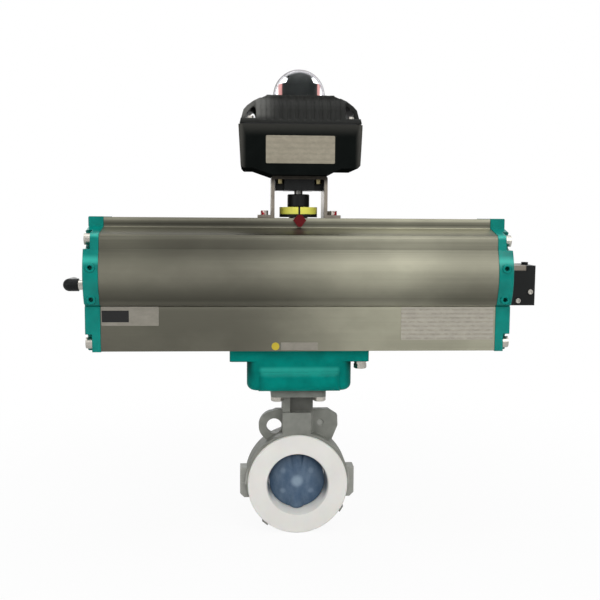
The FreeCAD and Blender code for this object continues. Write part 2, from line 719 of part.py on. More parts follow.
def barrel_section(x0, x1, grow=0.0):
    """The extrusion between two stations: rail, sloping shoulder, round flank, groove and flat foot."""
    top = RAIL_Z + grow
    base = ADAPTER_TOP_Z - grow
    flank = BARREL_R + grow
    shoulder = top - RAIL_DROP
    eave = shoulder - SHOULDER_DROP
    bulge_top = AXIS_Z + BULGE_TOP_UP
    flat_top = ADAPTER_TOP_Z + FLAT_HEIGHT
    bulge_foot = flat_top + GROOVE_WIDTH
    bulge_top_y = math.sqrt(flank ** 2 - BULGE_TOP_UP ** 2)
    bulge_foot_y = math.sqrt(flank ** 2 - (AXIS_Z - bulge_foot) ** 2)
    rail_y = RAIL_HALF_Y + grow
    eave_y = SHOULDER_HALF_Y + grow
    flat_y = FLAT_HALF_Y + grow
    corner_y = eave_y + SHOULDER_R
    bend = math.radians(50)
    points = [(0, base), (0, top), (rail_y, top), (rail_y, shoulder), (eave_y, eave)]
    edges = []
    for a, b in zip(points, points[1:]):
        edges.append(Part.makeLine(at(x0, *a), at(x0, *b)))
    bend_middle = at(x0, eave_y + SHOULDER_R * math.sin(bend), eave - SHOULDER_R * (1 - math.cos(bend)))
    corner = at(x0, corner_y, eave - SHOULDER_R)
    edges.append(Part.Arc(at(x0, eave_y, eave), bend_middle, corner).toShape())
    edges.append(Part.makeLine(corner, at(x0, bulge_top_y, bulge_top)))
    edges.append(Part.Arc(at(x0, bulge_top_y, bulge_top), at(x0, flank, AXIS_Z),
                          at(x0, bulge_foot_y, bulge_foot)).toShape())
    foot = [(bulge_foot_y, bulge_foot), (flat_y - GROOVE_DEPTH, bulge_foot - 0.6),
            (flat_y - GROOVE_DEPTH, flat_top + 0.6), (flat_y, flat_top), (flat_y, base), (0, base)]
    for a, b in zip(foot, foot[1:]):
        edges.append(Part.makeLine(at(x0, *a), at(x0, *b)))
    half = Part.Face(Part.Wire(edges)).extrude(at(x1 - x0, 0, 0))
    return joined([half, half.mirror(ORIGIN, Y_AXIS)])


def cap_screw_places():
    high = AXIS_Z + CAP_SCREW_HIGH
    low = AXIS_Z - CAP_SCREW_LOW
    return [(sy * CAP_SCREW_Y, z) for sy in SIDES for z in (low, high)]


def actuator_body():
    shell = barrel_section(-BARREL_HALF_LENGTH, BARREL_HALF_LENGTH)
    end = BARREL_HALF_LENGTH
    tools = [rod_x(BORE_R, -end - 1, end + 1, 0, AXIS_Z)]
    tools.append(rod_z(TOP_JOURNAL_R + BEARING_WALL, AXIS_Z, RAIL_Z + 1))
    tools.append(rod_z(JOURNAL_R + BEARING_WALL, ADAPTER_TOP_Z - 1, AXIS_Z))
    for x, y in corners_of(RAIL_SCREW_X, RAIL_SCREW_Y):
        tools.append(rod_z(M5[0], RAIL_Z - 8.5, RAIL_Z + 1, x, y))
    for x, y in corners_of(ADAPTER_BOLT_X, ADAPTER_BOLT_Y):
        tools.append(rod_z(M8[0], ADAPTER_TOP_Z - 1, ADAPTER_TOP_Z + SCREW_GRIP + SCREW_END_ROOM, x, y))
    for side in SIDES:
        for y, z in cap_screw_places():
            tools.append(rod_x(M8[0], side * (end + 1), side * (end - CAP_SCREW_HOLE), y, z))
    port_z = ADAPTER_TOP_Z + PORT_UP
    for side in SIDES:
        tools.append(rod_y(PORT_R, FLAT_HALF_Y + 1, FLAT_HALF_Y - 11, side * PORT_SPACING / 2, port_z))
        for lift in SIDES:
            tools.append(rod_y(M5[0], FLAT_HALF_Y + 1, FLAT_HALF_Y - 8, side * PORT_SCREW_X,
                               port_z + lift * PORT_SCREW_Z))
    return shell.cut(tools)


def cap_seal_span(side):
    """The two ends of the seal groove in a cap's lip."""
    start = BARREL_HALF_LENGTH - CAP_LIP_LENGTH + CAP_SEAL_SETBACK
    return side * start, side * (start + CAP_SEAL_WIDTH)


def cap_gasket(side):
    x0, x1 = cap_seal_span(side)
    return rod_x(BORE_R, x0, x1, 0, AXIS_Z).cut(rod_x(BORE_R - CAP_SEAL_DEPTH, x0, x1, 0, AXIS_Z))


def end_cap(side):
    """Cast cap on the barrel outline, with screw recesses in its corners and a lip inside the bore."""
    inner = side * BARREL_HALF_LENGTH
    outer = side * CAP_X
    cap = barrel_section(inner, outer, CAP_PROUD)
    rim = [e for e in cap.Edges if max(abs(e.BoundBox.XMin - outer), abs(e.BoundBox.XMax - outer)) < 0.01]
    cap = cap.makeFillet(CAP_EDGE_R, rim)
    tools = []
    step = side * (BARREL_HALF_LENGTH + CAP_CORNER_THICK)
    reach = BARREL_R + 10
    for y, z in cap_screw_places():
        tools.append(rod_x(CAP_POCKET_R, step, outer + side, y, z))
        y0, y1 = sorted((y, math.copysign(reach, y)))
        up = z > AXIS_Z
        z0, z1 = (z - CAP_POCKET_R, z + 40) if up else (z - 40, z + CAP_POCKET_R)
        x0, x1 = sorted((step, outer + side))
        tools.append(block(x0, x1, y0, y1, z0, z1))
        tools.append(rod_x(M8[0], inner - side, outer, y, z))
    cap = cap.cut(tools)
    lip_end = side * (BARREL_HALF_LENGTH - CAP_LIP_LENGTH)
    lip = rod_x(BORE_R - BODY_GAP, inner, lip_end, 0, AXIS_Z)
    lip = lip.cut(rod_x(BORE_R - CAP_LIP_WALL, inner, lip_end, 0, AXIS_Z))
    groove, groove_end = cap_seal_span(side)
    seal_way = rod_x(BORE_R + 1, groove, groove_end, 0, AXIS_Z)
    seal_way = seal_way.cut(rod_x(BORE_R - CAP_SEAL_DEPTH, groove, groove_end, 0, AXIS_Z))
    centring = rod_x(SPRING_R - WIRE / 2 - 1.5, inner, inner - side * SPRING_BOSS_LENGTH, 0, AXIS_Z)
    cap = joined([cap, lip.cut(seal_way), centring] + cap_bosses(side))
    middle = side * (BARREL_HALF_LENGTH + CAP_THICK / 2)
    for up in CAP_BOSS_UP:
        y = -boss_face(up)
        cap = cap.cut(rod_y(CAP_BOSS_HOLE_R, y - 5, y + 6, middle, AXIS_Z + up))
    if side < 0:
        hole_end = outer - side * (STUB_THREAD + SCREW_END_ROOM)
        return cap.cut(rod_x(STUB_THREAD_R, hole_end, outer, 0, AXIS_Z + ELBOW_UP))
    return cap


def boss_face(up):
    """How far forward the cap's flank lies at a height above the barrel axis."""
    return math.sqrt((BARREL_R + CAP_PROUD) ** 2 - up ** 2)


def cap_bosses(side):
    """Two round bosses on the front flank of a cap, one over the other."""
    middle = side * (BARREL_HALF_LENGTH + CAP_THICK / 2)
    return [rod_y(CAP_BOSS_R, -boss_face(up) - CAP_BOSS_PROUD, -boss_face(up) + 8, middle, AXIS_Z + up)
            for up in CAP_BOSS_UP]


def cap_screws(side):
    seat = side * (BARREL_HALF_LENGTH + CAP_CORNER_THICK)
    screw = socket_screw(M8, CAP_CORNER_THICK + CAP_SCREW_HOLE - 4)
    return [laid_along_x(screw, seat, y, z, side) for y, z in cap_screw_places()]


# Rack and pinion

def involute(radius, base_r):
    """Angle of the involute at a radius, from where it leaves the base circle."""
    if radius <= base_r:
        return 0.0
    slope = math.sqrt((radius / base_r) ** 2 - 1)
    return slope - math.atan(slope)


def gear_outline(z):
    """Eighteen involute teeth, one centred on +X; flanks are short chords of the involute."""
    base_r = PITCH_R * math.cos(math.radians(PRESSURE_ANGLE))
    root_r = PITCH_R - DEDENDUM
    tip_r = PITCH_R + ADDENDUM
    half_tooth = math.pi / (2 * TEETH) - BACKLASH / 4 / PITCH_R + involute(PITCH_R, base_r)
    radii = [root_r, base_r + 0.2, (base_r + PITCH_R) / 2 + 0.3, PITCH_R + 0.6, tip_r]
    points = []
    for tooth in range(TEETH):
        centre = 2 * math.pi * tooth / TEETH
        rising = [(r, centre - half_tooth + involute(r, base_r)) for r in radii]
        falling = [(r, centre + half_tooth - involute(r, base_r)) for r in reversed(radii)]
        for r, turn in rising + falling:
            points.append(at(r * math.cos(turn), r * math.sin(turn), z))
    return points


def pinion_shaft():
    """Pinion with its two journals, a square socket below and a spigot for the puck above."""
    teeth = prism(gear_outline(AXIS_Z - GEAR_HALF_HEIGHT), at(0, 0, 2 * GEAR_HALF_HEIGHT))
    lower = rod_z(JOURNAL_R, PINION_FOOT_Z, AXIS_Z)
    upper_start = AXIS_Z + BORE_R - JOURNAL_STEP
    upper = rod_z(JOURNAL_R, AXIS_Z, upper_start)
    neck_part = rod_z(TOP_JOURNAL_R, AXIS_Z, RAIL_Z - 0.5)
    spigot = rod_z(INDICATOR_SPIGOT_R, AXIS_Z, RAIL_Z + INDICATOR_SPIGOT_TOP)
    shaft = joined([teeth, lower, upper, neck_part, spigot])
    socket = square_z(DRIVE_SQUARE + DRIVE_GAP, PINION_FOOT_Z - 1, ADAPTER_TOP_Z + DRIVE_SQUARE_LENGTH + 1)
    half_slot = COUPLING_TONGUE / 2 + 0.1
    slot = block(-INDICATOR_SPIGOT_R, INDICATOR_SPIGOT_R, -half_slot, half_slot,
                 RAIL_Z + 1.5, RAIL_Z + INDICATOR_SPIGOT_TOP + 1)
    return shaft.cut([socket, slot])


def pinion_bearing_lower():
    top = ADAPTER_TOP_Z + LOWER_BEARING_UP
    return ring_z(JOURNAL_R + BEARING_WALL, JOURNAL_R + BEARING_GAP, PINION_FOOT_Z, top)


def pinion_bearing_upper():
    top_wall = AXIS_Z + math.sqrt(BORE_R ** 2 - (TOP_JOURNAL_R + BEARING_WALL) ** 2)
    return ring_z(TOP_JOURNAL_R + BEARING_WALL, TOP_JOURNAL_R + BEARING_GAP, top_wall, RAIL_Z)


def rack_teeth(side):
    """Straight-flanked rack teeth on the pinion side of a piston arm, one centred on the pinion."""
    lean = math.tan(math.radians(PRESSURE_ANGLE))
    half_pitch = PITCH / 4 - BACKLASH / 4
    root_y = PITCH_R + DEDENDUM
    tip_y = PITCH_R - ADDENDUM
    half_root = half_pitch + DEDENDUM * lean
    half_tip = half_pitch - ADDENDUM * lean
    z0 = AXIS_Z - RACK_HALF_HEIGHT
    teeth = []
    for k in range(RACK_FIRST_TOOTH, RACK_LAST_TOOTH + 1):
        x = side * k * PITCH
        corners = [at(x - half_root, -side * (root_y + 0.5), z0), at(x - half_root, -side * root_y, z0),
                   at(x - half_tip, -side * tip_y, z0), at(x + half_tip, -side * tip_y, z0),
                   at(x + half_root, -side * root_y, z0), at(x + half_root, -side * (root_y + 0.5), z0)]
        teeth.append(prism(corners, at(0, 0, 2 * RACK_HALF_HEIGHT)))
    return teeth


def piston(side):
    """Round head with a seal groove, a spring seat behind and the rack arm cast with it."""
    head = rod_x(BORE_R - PISTON_GAP, side * HEAD_X, side * HEAD_BACK_X, 0, AXIS_Z)
    ring_x = side * (HEAD_BACK_X - RING_FROM_BACK)
    way = rod_x(BORE_R + 1, ring_x, ring_x - side * RING_WIDTH, 0, AXIS_Z)
    way = way.cut(rod_x(BORE_R - RING_DEPTH, ring_x, ring_x - side * RING_WIDTH, 0, AXIS_Z))
    x0, x1 = sorted((-side * RACK_TIP_X, side * (HEAD_X + 2)))
    y0, y1 = sorted((-side * (PITCH_R + DEDENDUM), -side * BORE_R))
    arm = block(x0, x1, y0, y1, AXIS_Z - RACK_HALF_HEIGHT, AXIS_Z + RACK_HALF_HEIGHT)
    arm = arm.common(rod_x(RACK_BACK_R, x0, x1, 0, AXIS_Z))
    boss_r = SPRING_R - WIRE / 2 - 1.5
    boss_end = side * (HEAD_BACK_X + SPRING_BOSS_LENGTH)
    boss = rod_x(boss_r, side * HEAD_BACK_X, boss_end, 0, AXIS_Z)
    hollow = rod_x(boss_r - 6, side * (HEAD_BACK_X - 10), boss_end + side, 0, AXIS_Z)
    return joined([head.cut(way), arm, boss] + rack_teeth(side)).cut(hollow)


def piston_ring(side):
    ring_x = side * (HEAD_BACK_X - RING_FROM_BACK)
    ring = rod_x(BORE_R - RING_GAP, ring_x, ring_x - side * RING_WIDTH, 0, AXIS_Z)
    return ring.cut(rod_x(BORE_R - RING_DEPTH, ring_x, ring_x - side * RING_WIDTH, 0, AXIS_Z))


def rack_pad(side):
    """Plastic slide pad on the back of the rack arm."""
    x0, x1 = sorted((-side * (RACK_TIP_X - 3), -side * (RACK_TIP_X - 3 - PAD_LENGTH)))
    pad = rod_x(BORE_R - PAD_GAP, x0, x1, 0, AXIS_Z).cut(rod_x(RACK_BACK_R, x0, x1, 0, AXIS_Z))
    y0, y1 = sorted((-side * PITCH_R, -side * (BORE_R + 1)))
    return pad.common(block(x0, x1, y0, y1, AXIS_Z - PAD_HALF_HEIGHT, AXIS_Z + PAD_HALF_HEIGHT))


def return_spring(side):
    """Square-wire coil between piston and cap, its ends ground flat."""
    length = BARREL_HALF_LENGTH - HEAD_BACK_X
    lead = length / SPRING_TURNS
    helix = Part.makeHelix(lead, length + lead, SPRING_R)
    half = WIRE / 2
    corners = [at(SPRING_R - half, 0, -half), at(SPRING_R + half, 0, -half), at(SPRING_R + half, 0, half),
               at(SPRING_R - half, 0, half)]
    section = Part.makePolygon(corners + corners[:1])
    coil = Part.Wire(helix.Edges).makePipeShell([section], True, True)
    coil.translate(at(0, 0, -lead / 2))
    reach = SPRING_R + WIRE
    ground = coil.common(block(-reach, reach, -reach, reach, 0, length))
    return laid_along_x(ground, side * HEAD_BACK_X, 0, AXIS_Z, side)


# Position indicator

def position_indicator():
    """Black puck keyed on the pinion, with spokes between the coloured inserts."""
    base = ring_z(PUCK_R, INDICATOR_SPIGOT_R, PUCK_Z, PUCK_Z + PUCK_BASE)
    core = ring_z(PUCK_R - PUCK_INSERT_DEPTH, INDICATOR_SPIGOT_R, PUCK_Z, PUCK_Z + PUCK_HEIGHT)
    top = PUCK_Z + PUCK_HEIGHT
    spokes = []
    for k in range(2):
        spoke = block(-PUCK_R, PUCK_R, -PUCK_SPLIT / 2, PUCK_SPLIT / 2, PUCK_Z, top)
        spoke.rotate(ORIGIN, Z_AXIS, 90 * k)
        spokes.append(spoke.common(ring_z(PUCK_R, INDICATOR_SPIGOT_R, PUCK_Z, top)))
    return joined([base, core] + spokes)


def indicator_inserts():
    """Four bright quarter arcs let into the rim of the puck."""
    low = PUCK_Z + PUCK_BASE
    top = PUCK_Z + PUCK_HEIGHT
    ring = ring_z(PUCK_R, PUCK_R - PUCK_INSERT_DEPTH, low, top)
    gaps = [block(-PUCK_R - 1, PUCK_R + 1, -PUCK_SPLIT / 2, PUCK_SPLIT / 2, low, top),
            block(-PUCK_SPLIT / 2, PUCK_SPLIT / 2, -PUCK_R - 1, PUCK_R + 1, low, top)]
    return ring.cut(gaps).Solids


def pointer():
    """Fixed red pointer on the face of the rail, point down, with its head beside the puck."""
    y = -RAIL_HALF_Y
    low = RAIL_Z - RAIL_DROP + 1.0
    mid = RAIL_Z - 2.5
    high = RAIL_Z + 4.0
    half = POINTER_HALF
    corners = [at(-half, y, mid), at(-half * 0.25, y, low), at(half * 0.25, y, low), at(half, y, mid),
               at(half * 0.3, y, high), at(-half * 0.3, y, high)]
    return prism(corners, at(0, -POINTER_THICK, 0))


# Coupling, bracket and switch box

def shaft_coupling():
    """Round coupling: tongue down into the pinion slot, bore up for the switch shaft."""
    body = rod_z(COUPLING_R, COUPLING_Z, COUPLING_TOP_Z)
    body = body.makeChamfer(0.8, [e for e in body.Edges if e.Curve.TypeId == "Part::GeomCircle"])
    half = INDICATOR_SPIGOT_R - 1.5
    tongue = block(-half, half, -COUPLING_TONGUE / 2, COUPLING_TONGUE / 2, RAIL_Z + 2, COUPLING_Z + 1)
    bore = rod_z(SHAFT_R, COUPLING_Z + 4, COUPLING_TOP_Z + 1)
    return joined([body, tongue]).cut(bore)


def bracket():
    """Sheet bracket: web on top, two legs, and feet turned outwards on the rail."""
    outer = block(-BRACKET_HALF_X, BRACKET_HALF_X, -BRACKET_HALF_Y, BRACKET_HALF_Y, RAIL_Z, BRACKET_TOP_Z)
    high = [e for e in bars(outer, Y_AXIS) if e.BoundBox.ZMin > RAIL_Z + 1]
    outer = outer.makeFillet(BRACKET_BEND_R, high)
    inside = BRACKET_HALF_X - BRACKET_THICK
    inner = block(-inside, inside, -BRACKET_HALF_Y - 1, BRACKET_HALF_Y + 1, RAIL_Z - 1, WEB_FOOT_Z)
    arch = outer.cut(inner)
    feet = []
    for side in SIDES:
        x0, x1 = sorted((side * (BRACKET_HALF_X - 1), side * FOOT_HALF_X))
        feet.append(block(x0, x1, -BRACKET_HALF_Y, BRACKET_HALF_Y, RAIL_Z, RAIL_Z + FOOT_THICK))
    sheet = joined([arch] + feet)
    tools = [rod_z(SHAFT_R + 6, WEB_FOOT_Z - 1, BRACKET_TOP_Z + 1)]
    for x, y in corners_of(RAIL_SCREW_X, RAIL_SCREW_Y):
        tools.append(rod_z(M5[0], RAIL_Z - 1, RAIL_Z + FOOT_THICK + 1, x, y))
    for x, y in spacer_screw_places():
        tools.append(rod_z(M5[0], WEB_FOOT_Z - 1, BRACKET_TOP_Z + 1, x, y))
    return sheet.cut(tools)


def bracket_screws():
    screw = socket_screw(M5, FOOT_THICK + 8.0)
    return [placed(screw, x, y, RAIL_Z + FOOT_THICK) for x, y in corners_of(RAIL_SCREW_X, RAIL_SCREW_Y)]


def spacer_screw_places():
    return corners_of(SPACER_SCREW_X, SPACER_HALF_Y - 6)


def spacer_block():
    """Moulded block under the web that spreads the load of the box screws."""
    body = block(-SPACER_HALF_X, SPACER_HALF_X, -SPACER_HALF_Y, SPACER_HALF_Y, SPACER_Z, WEB_FOOT_Z)
    body = body.makeFillet(2.5, bars(body, Z_AXIS))
    tools = [rod_z(SHAFT_R + 3, SPACER_Z - 1, WEB_FOOT_Z + 1)]
    for x, y in spacer_screw_places():
        tools.append(rod_z(M5[0], SPACER_Z - 1, WEB_FOOT_Z + 1, x, y))
        x0, x1 = x - M5[1] - 0.4, x + M5[1] + 0.4
        y0, y1 = sorted((y - math.copysign(M5[1] + 0.4, y), math.copysign(SPACER_HALF_Y + 1, y)))
        tools.append(block(x0, x1, y0, y1, SPACER_Z - 1, WEB_FOOT_Z))
    return body.cut(tools)


def spacer_screws():
    screw = socket_screw(M5, BRACKET_THICK + SPACER_SCREW_BITE)
    return [placed(screw, x, y, WEB_FOOT_Z, True) for x, y in spacer_screw_places()]


def box_outline(shrink, lift=0.0):
    """Front outline of the box: wings, bevelled corners, taper down to the web, wider on the left."""
    low = BRACKET_TOP_Z + lift
    wing = low + BOX_TAPER_HEIGHT
    points = []
    wing_x = BOX_FOOT_HALF_X - shrink
    for side, taper in ((1, BOX_TAPER_RIGHT), (-1, BOX_TAPER_LEFT)):
        half = [(BOX_TAPER_FOOT_HALF_X - shrink, low), (taper - shrink, wing),
                (wing_x - BOX_CHAMFER, wing), (wing_x, wing + BOX_CHAMFER),
                (BOX_HALF_X - shrink, BOX_TOP_Z + 0.5 * lift)]
        corners = [at(side * x, 0, z) for x, z in half]
        points += corners if side > 0 else corners[::-1]
    return points


def swept_both_ways(points, half_y):
    moved = [p + at(0, -half_y, 0) for p in points]
    return prism(moved, at(0, 2 * half_y, 0))


def switch_box_base():
    """Lower housing: tapered foot, straight wings, hollow from above, cable entries behind."""
    wide = BOX_HALF_X + 5
    shell = swept_both_ways(box_outline(0.0), BOX_HALF_Y)
    plan = rounded_block(wide - 5, BOX_HALF_Y, BOX_CORNER, BRACKET_TOP_Z, BOX_TOP_Z)
    room = swept_both_ways(box_outline(BOX_WALL, BOX_WALL), BOX_HALF_Y - BOX_WALL)
    room_plan = rounded_block(wide - 5 - BOX_WALL, BOX_HALF_Y - BOX_WALL, BOX_CORNER - 2, BRACKET_TOP_Z,
                              BOX_TOP_Z + BOX_WALL)
    solid = shell.common(plan).cut(room.common(room_plan))
    posts = [rod_z(M4[0] + 3.5, BRACKET_TOP_Z + BOX_TAPER_HEIGHT + 2, BOX_TOP_Z, x, y).common(shell)
             for x, y in corners_of(COVER_SCREW_X, COVER_SCREW_Y)]
    hub = rod_z(SHAFT_R + 5, BRACKET_TOP_Z, BRACKET_TOP_Z + 11)
    solid = joined([solid, hub, switch_frame()] + posts)
    tools = [rod_z(SHAFT_R + STEM_GAP, BRACKET_TOP_Z - 1, BRACKET_TOP_Z + 12)]
    for x, y in corners_of(COVER_SCREW_X, COVER_SCREW_Y):
        tools.append(rod_z(M4[0], BOX_TOP_Z - 12, BOX_TOP_Z + 1, x, y))
    for x, y in spacer_screw_places():
        tools.append(rod_z(M5[0], BRACKET_TOP_Z - 1, BRACKET_TOP_Z + 3, x, y))
    for side in SIDES:
        tools.append(rod_y(ENTRY_R, BOX_HALF_Y - BOX_WALL - 1, BOX_HALF_Y + 1, side * ENTRY_X,
                           BRACKET_TOP_Z + ENTRY_UP))
    return solid.cut(tools)


def cable_plugs():
    """Blanking plugs screwed into the two cable entries at the back."""
    plugs = []
    for side in SIDES:
        z = BRACKET_TOP_Z + ENTRY_UP
        head = hex_z(ENTRY_PLUG_HEX, 0, 4.0)
        plug = joined([head, rod_z(ENTRY_R, -BOX_WALL, 0)])
        plugs.append(laid_along_y(plug, side * ENTRY_X, BOX_HALF_Y, z, 1))
    return plugs


def cover_levels(shrink, drop):
    """(height, half width, half depth) up the cover; its crown stays deep enough to carry the dome."""
    ratio = (BOX_HALF_Y - COVER_STEP) / (BOX_HALF_X - COVER_STEP)
    levels = []
    for up, inset in COVER_INSETS:
        half = BOX_HALF_X - inset
        depth = half * ratio
        if depth < DOME_R + 1:
            depth = max(depth + COVER_CROWN_SPREAD * up / COVER_HEIGHT, DOME_R + 1)
        levels.append((COVER_Z + up - drop, half - shrink, depth - shrink))
    return levels


def cover_shape(shrink, drop):
    """The domed cover as its front outline swept through, met by its side outline swept across."""
    levels = cover_levels(shrink, drop)
    foot = COVER_Z - (1.0 if shrink else 0.0)
    levels[0] = (foot, levels[0][1], levels[0][2])
    front = [at(half, 0, z) for z, half, depth in levels]
    front += [at(-half, 0, z) for z, half, depth in reversed(levels)]
    across = [at(-BOX_HALF_X, depth, z) for z, half, depth in levels]
    across += [at(-BOX_HALF_X, -depth, z) for z, half, depth in reversed(levels)]
    return swept_both_ways(front, BOX_HALF_X).common(prism(across, at(2 * BOX_HALF_X, 0, 0)))


def cover_corners():
    """The cover's corner recesses, open from each screw out past both edges."""
    cuts = []
    floor = COVER_Z + COVER_LUG_HEIGHT
    reach = COVER_SCREW_POCKET_R
    for x, y in corners_of(COVER_SCREW_X, COVER_SCREW_Y):
        x0, x1 = sorted((x, math.copysign(BOX_HALF_X + 1, x)))
        y0, y1 = sorted((y, math.copysign(BOX_HALF_Y + 1, y)))
        cuts.append(rod_z(reach, floor, DOME_Z, x, y))
        cuts.append(block(x0, x1, y - reach, y + reach, floor, DOME_Z))
        cuts.append(block(x - reach, x + reach, y0, y1, floor, DOME_Z))
    return cuts


def switch_box_cover():
    """Fluted cover: thin ribs stand on a domed shell; its corners are let down for the screws."""
    outer = cover_shape(0.0, 0.0)
    wide = BOX_HALF_X
    first = (FLUTE_COUNT - 1) / 2 * FLUTE_STEP
    half = FLUTE_WIDTH / 2
    band_top = COVER_Z + COVER_BAND
    raised = [block(-wide, wide, -wide, wide, COVER_Z, band_top)]
    for k in range(FLUTE_COUNT):
        x = k * FLUTE_STEP - first
        raised.append(block(x - half, x + half, -wide, wide, band_top, DOME_Z))
    for side in SIDES:
        x0, x1 = sorted((side * (first + FLUTE_STEP), side * wide))
        raised.append(block(x0, x1, -wide, wide, COVER_Z, DOME_Z))
    core = cover_shape(FLUTE_DEPTH, 0.0).common(block(-wide, wide, -wide, wide, COVER_Z, DOME_Z))
    shell = joined([core] + [outer.common(piece) for piece in raised])
    room = cover_shape(FLUTE_DEPTH + COVER_WALL, COVER_WALL)
    shell = shell.cut([room, rod_z(SHAFT_R + 1.5, COVER_Z, DOME_Z + 1)] + cover_corners())
    lug = COVER_SCREW_POCKET_R + 1
    lug_top = COVER_Z + COVER_LUG_HEIGHT
    lugs = []
    drills = []
    for x, y in corners_of(COVER_SCREW_X, COVER_SCREW_Y):
        lugs.append(block(x - lug, x + lug, y - lug, y + lug, COVER_Z, lug_top).common(outer))
        drills.append(rod_z(M4[0], COVER_Z - 1, lug_top + 1, x, y))
    return joined([shell] + lugs).cut(drills)


def cover_gasket():
    """Flat gasket in the seam between base and cover."""
    outer = rounded_block(BOX_HALF_X - COVER_STEP, BOX_HALF_Y - COVER_STEP, BOX_CORNER, BOX_TOP_Z, COVER_Z)
    inner = rounded_block(BOX_HALF_X - BOX_WALL, BOX_HALF_Y - BOX_WALL, BOX_CORNER - 2, BOX_TOP_Z, COVER_Z)
    ears = [rod_z(M4[0] + 3.5, BOX_TOP_Z, COVER_Z, x, y).common(outer)
            for x, y in corners_of(COVER_SCREW_X, COVER_SCREW_Y)]
    sheet = joined([outer.cut(inner)] + ears)
    return sheet.cut([rod_z(M4[0], BOX_TOP_Z - 1, COVER_Z + 1, x, y)
                      for x, y in corners_of(COVER_SCREW_X, COVER_SCREW_Y)])


def cover_screws():
    screw = socket_screw(M4, COVER_LUG_HEIGHT + COVER_SEAM + 10)
    seat = COVER_Z + COVER_LUG_HEIGHT
    return [placed(screw, x, y, seat) for x, y in corners_of(COVER_SCREW_X, COVER_SCREW_Y)]


def switch_shaft():
    """Switch shaft up through the box into the beacon, with a collar on the box floor."""
    rod = rod_z(SHAFT_R, COUPLING_Z + 4, SHAFT_TOP_Z)
    collar = rod_z(SHAFT_R + 3, BRACKET_TOP_Z + 11.3, BRACKET_TOP_Z + 14)
    return joined([rod, collar])


def switch_cams():
    """Two adjustable cams clamped on the shaft, a quarter turn apart."""
    cams = []
    for k, up in enumerate(CAM_UP):
        z = BRACKET_TOP_Z + up
        cam = rod_z(CAM_R, z, z + CAM_HEIGHT)
        cam = cam.cut(block(CAM_R - 2, CAM_R + 1, -CAM_R, CAM_R, z, z + CAM_HEIGHT))
        cam = cam.cut(rod_z(SHAFT_R, z, z + CAM_HEIGHT))
        cam.rotate(ORIGIN, Z_AXIS, 90 * k)
        cams.append(cam)
    return cams


def switch_frame():
    """Upright moulded on the box floor that carries the micro switches."""
    x0 = CAM_R + SWITCH_GAP + SWITCH_SIZE[0]
    foot = BRACKET_TOP_Z + BOX_WALL - 1.0
    return block(x0, x0 + 2.5, -14, 14, foot, BRACKET_TOP_Z + CAM_UP[1] + 12)


def micro_switches():
    switches = []
    for up in CAM_UP:
        z = BRACKET_TOP_Z + up + CAM_HEIGHT / 2
        x0 = CAM_R + SWITCH_GAP
        length, height, width = SWITCH_SIZE
        switches.append(block(x0, x0 + length, -width, width, z - height / 2, z + height / 2))
    return switches


def terminal_block():
    """Row of wire terminals on the box floor, against the front wall."""
    length, depth, height = TERMINAL_SIZE
    foot = BRACKET_TOP_Z + BOX_WALL
    front = -BOX_HALF_Y + BOX_WALL
    strip = block(-length / 2, length / 2, front, front + depth, foot, foot + height)
    step = length / TERMINAL_WAYS
    top = foot + height
    ways = [rod_z(2.0, top - 4, top + 1, -length / 2 + step * (k + 0.5), front + depth / 2)
            for k in range(TERMINAL_WAYS)]
    return strip.cut(ways)


def dome_ball(shrink):
    """The dome's short skirt and ball with a flat crown, every face moved in by shrink."""
    radius = DOME_R - shrink
    ball = Part.makeSphere(radius, at(0, 0, DOME_Z + DOME_SKIRT))
    skirt = rod_z(radius, DOME_Z, DOME_Z + DOME_SKIRT)
    return joined([ball, skirt]).common(rod_z(DOME_R, DOME_Z, DOME_Z + DOME_HEIGHT - shrink))


def beacon_dome():
    """Clear hollow dome that stands on the cover."""
    return dome_ball(0.0).cut(dome_ball(DOME_WALL))


def drum_body():
    """The indicator drum as one piece: it follows the dome with a running gap."""
    ball = dome_ball(DOME_WALL + DRUM_GAP)
    return ball.common(rod_z(DRUM_R, DOME_Z + DRUM_FOOT_GAP, DOME_Z + DOME_HEIGHT))


def sector(half_angle, turn, z0, z1):
    reach = DOME_R * 2
    spread = reach * math.tan(math.radians(half_angle))
    wedge = prism([at(0, 0, z0), at(reach, -spread, z0), at(reach, spread, z0)], at(0, 0, z1 - z0))
    wedge.rotate(ORIGIN, Z_AXIS, turn)
    return wedge


def drum_crown_z():
    return DOME_Z + DOME_HEIGHT - DOME_WALL - DRUM_GAP - DRUM_CROWN_THICK


def beacon_drum():
    """Black front and back sectors of the drum, joined by its crown and hub."""
    body = drum_body()
    top = DOME_Z + DOME_HEIGHT
    parts = [body.common(sector(DRUM_MASK_ANGLE, turn, DOME_Z, top)) for turn in (90, -90)]
    parts.append(body.common(rod_z(SHAFT_R + DRUM_HUB_WALL, DOME_Z, top)))
    parts.append(body.common(rod_z(DRUM_CROWN_R, drum_crown_z(), top)))
    return joined(parts).cut(rod_z(SHAFT_R, DOME_Z, SHAFT_TOP_Z))


def beacon_vanes():
    """Coloured side sectors of the drum, let in between the black ones."""
    body = drum_body()
    low = DOME_Z - 1
    top = DOME_Z + DRUM_FOOT_GAP + VANE_HEIGHT
    masks = [sector(DRUM_MASK_ANGLE, turn, low, top + 1) for turn in (90, -90)]
    hub = rod_z(SHAFT_R + DRUM_HUB_WALL, low, top + 1)
    vanes = []
    for side in SIDES:
        x0, x1 = sorted((0, side * DOME_R))
        half = body.common(block(x0, x1, -DOME_R, DOME_R, DOME_Z, top))
        vanes.append(half.cut(masks + [hub]))
    return vanes


# Air fittings

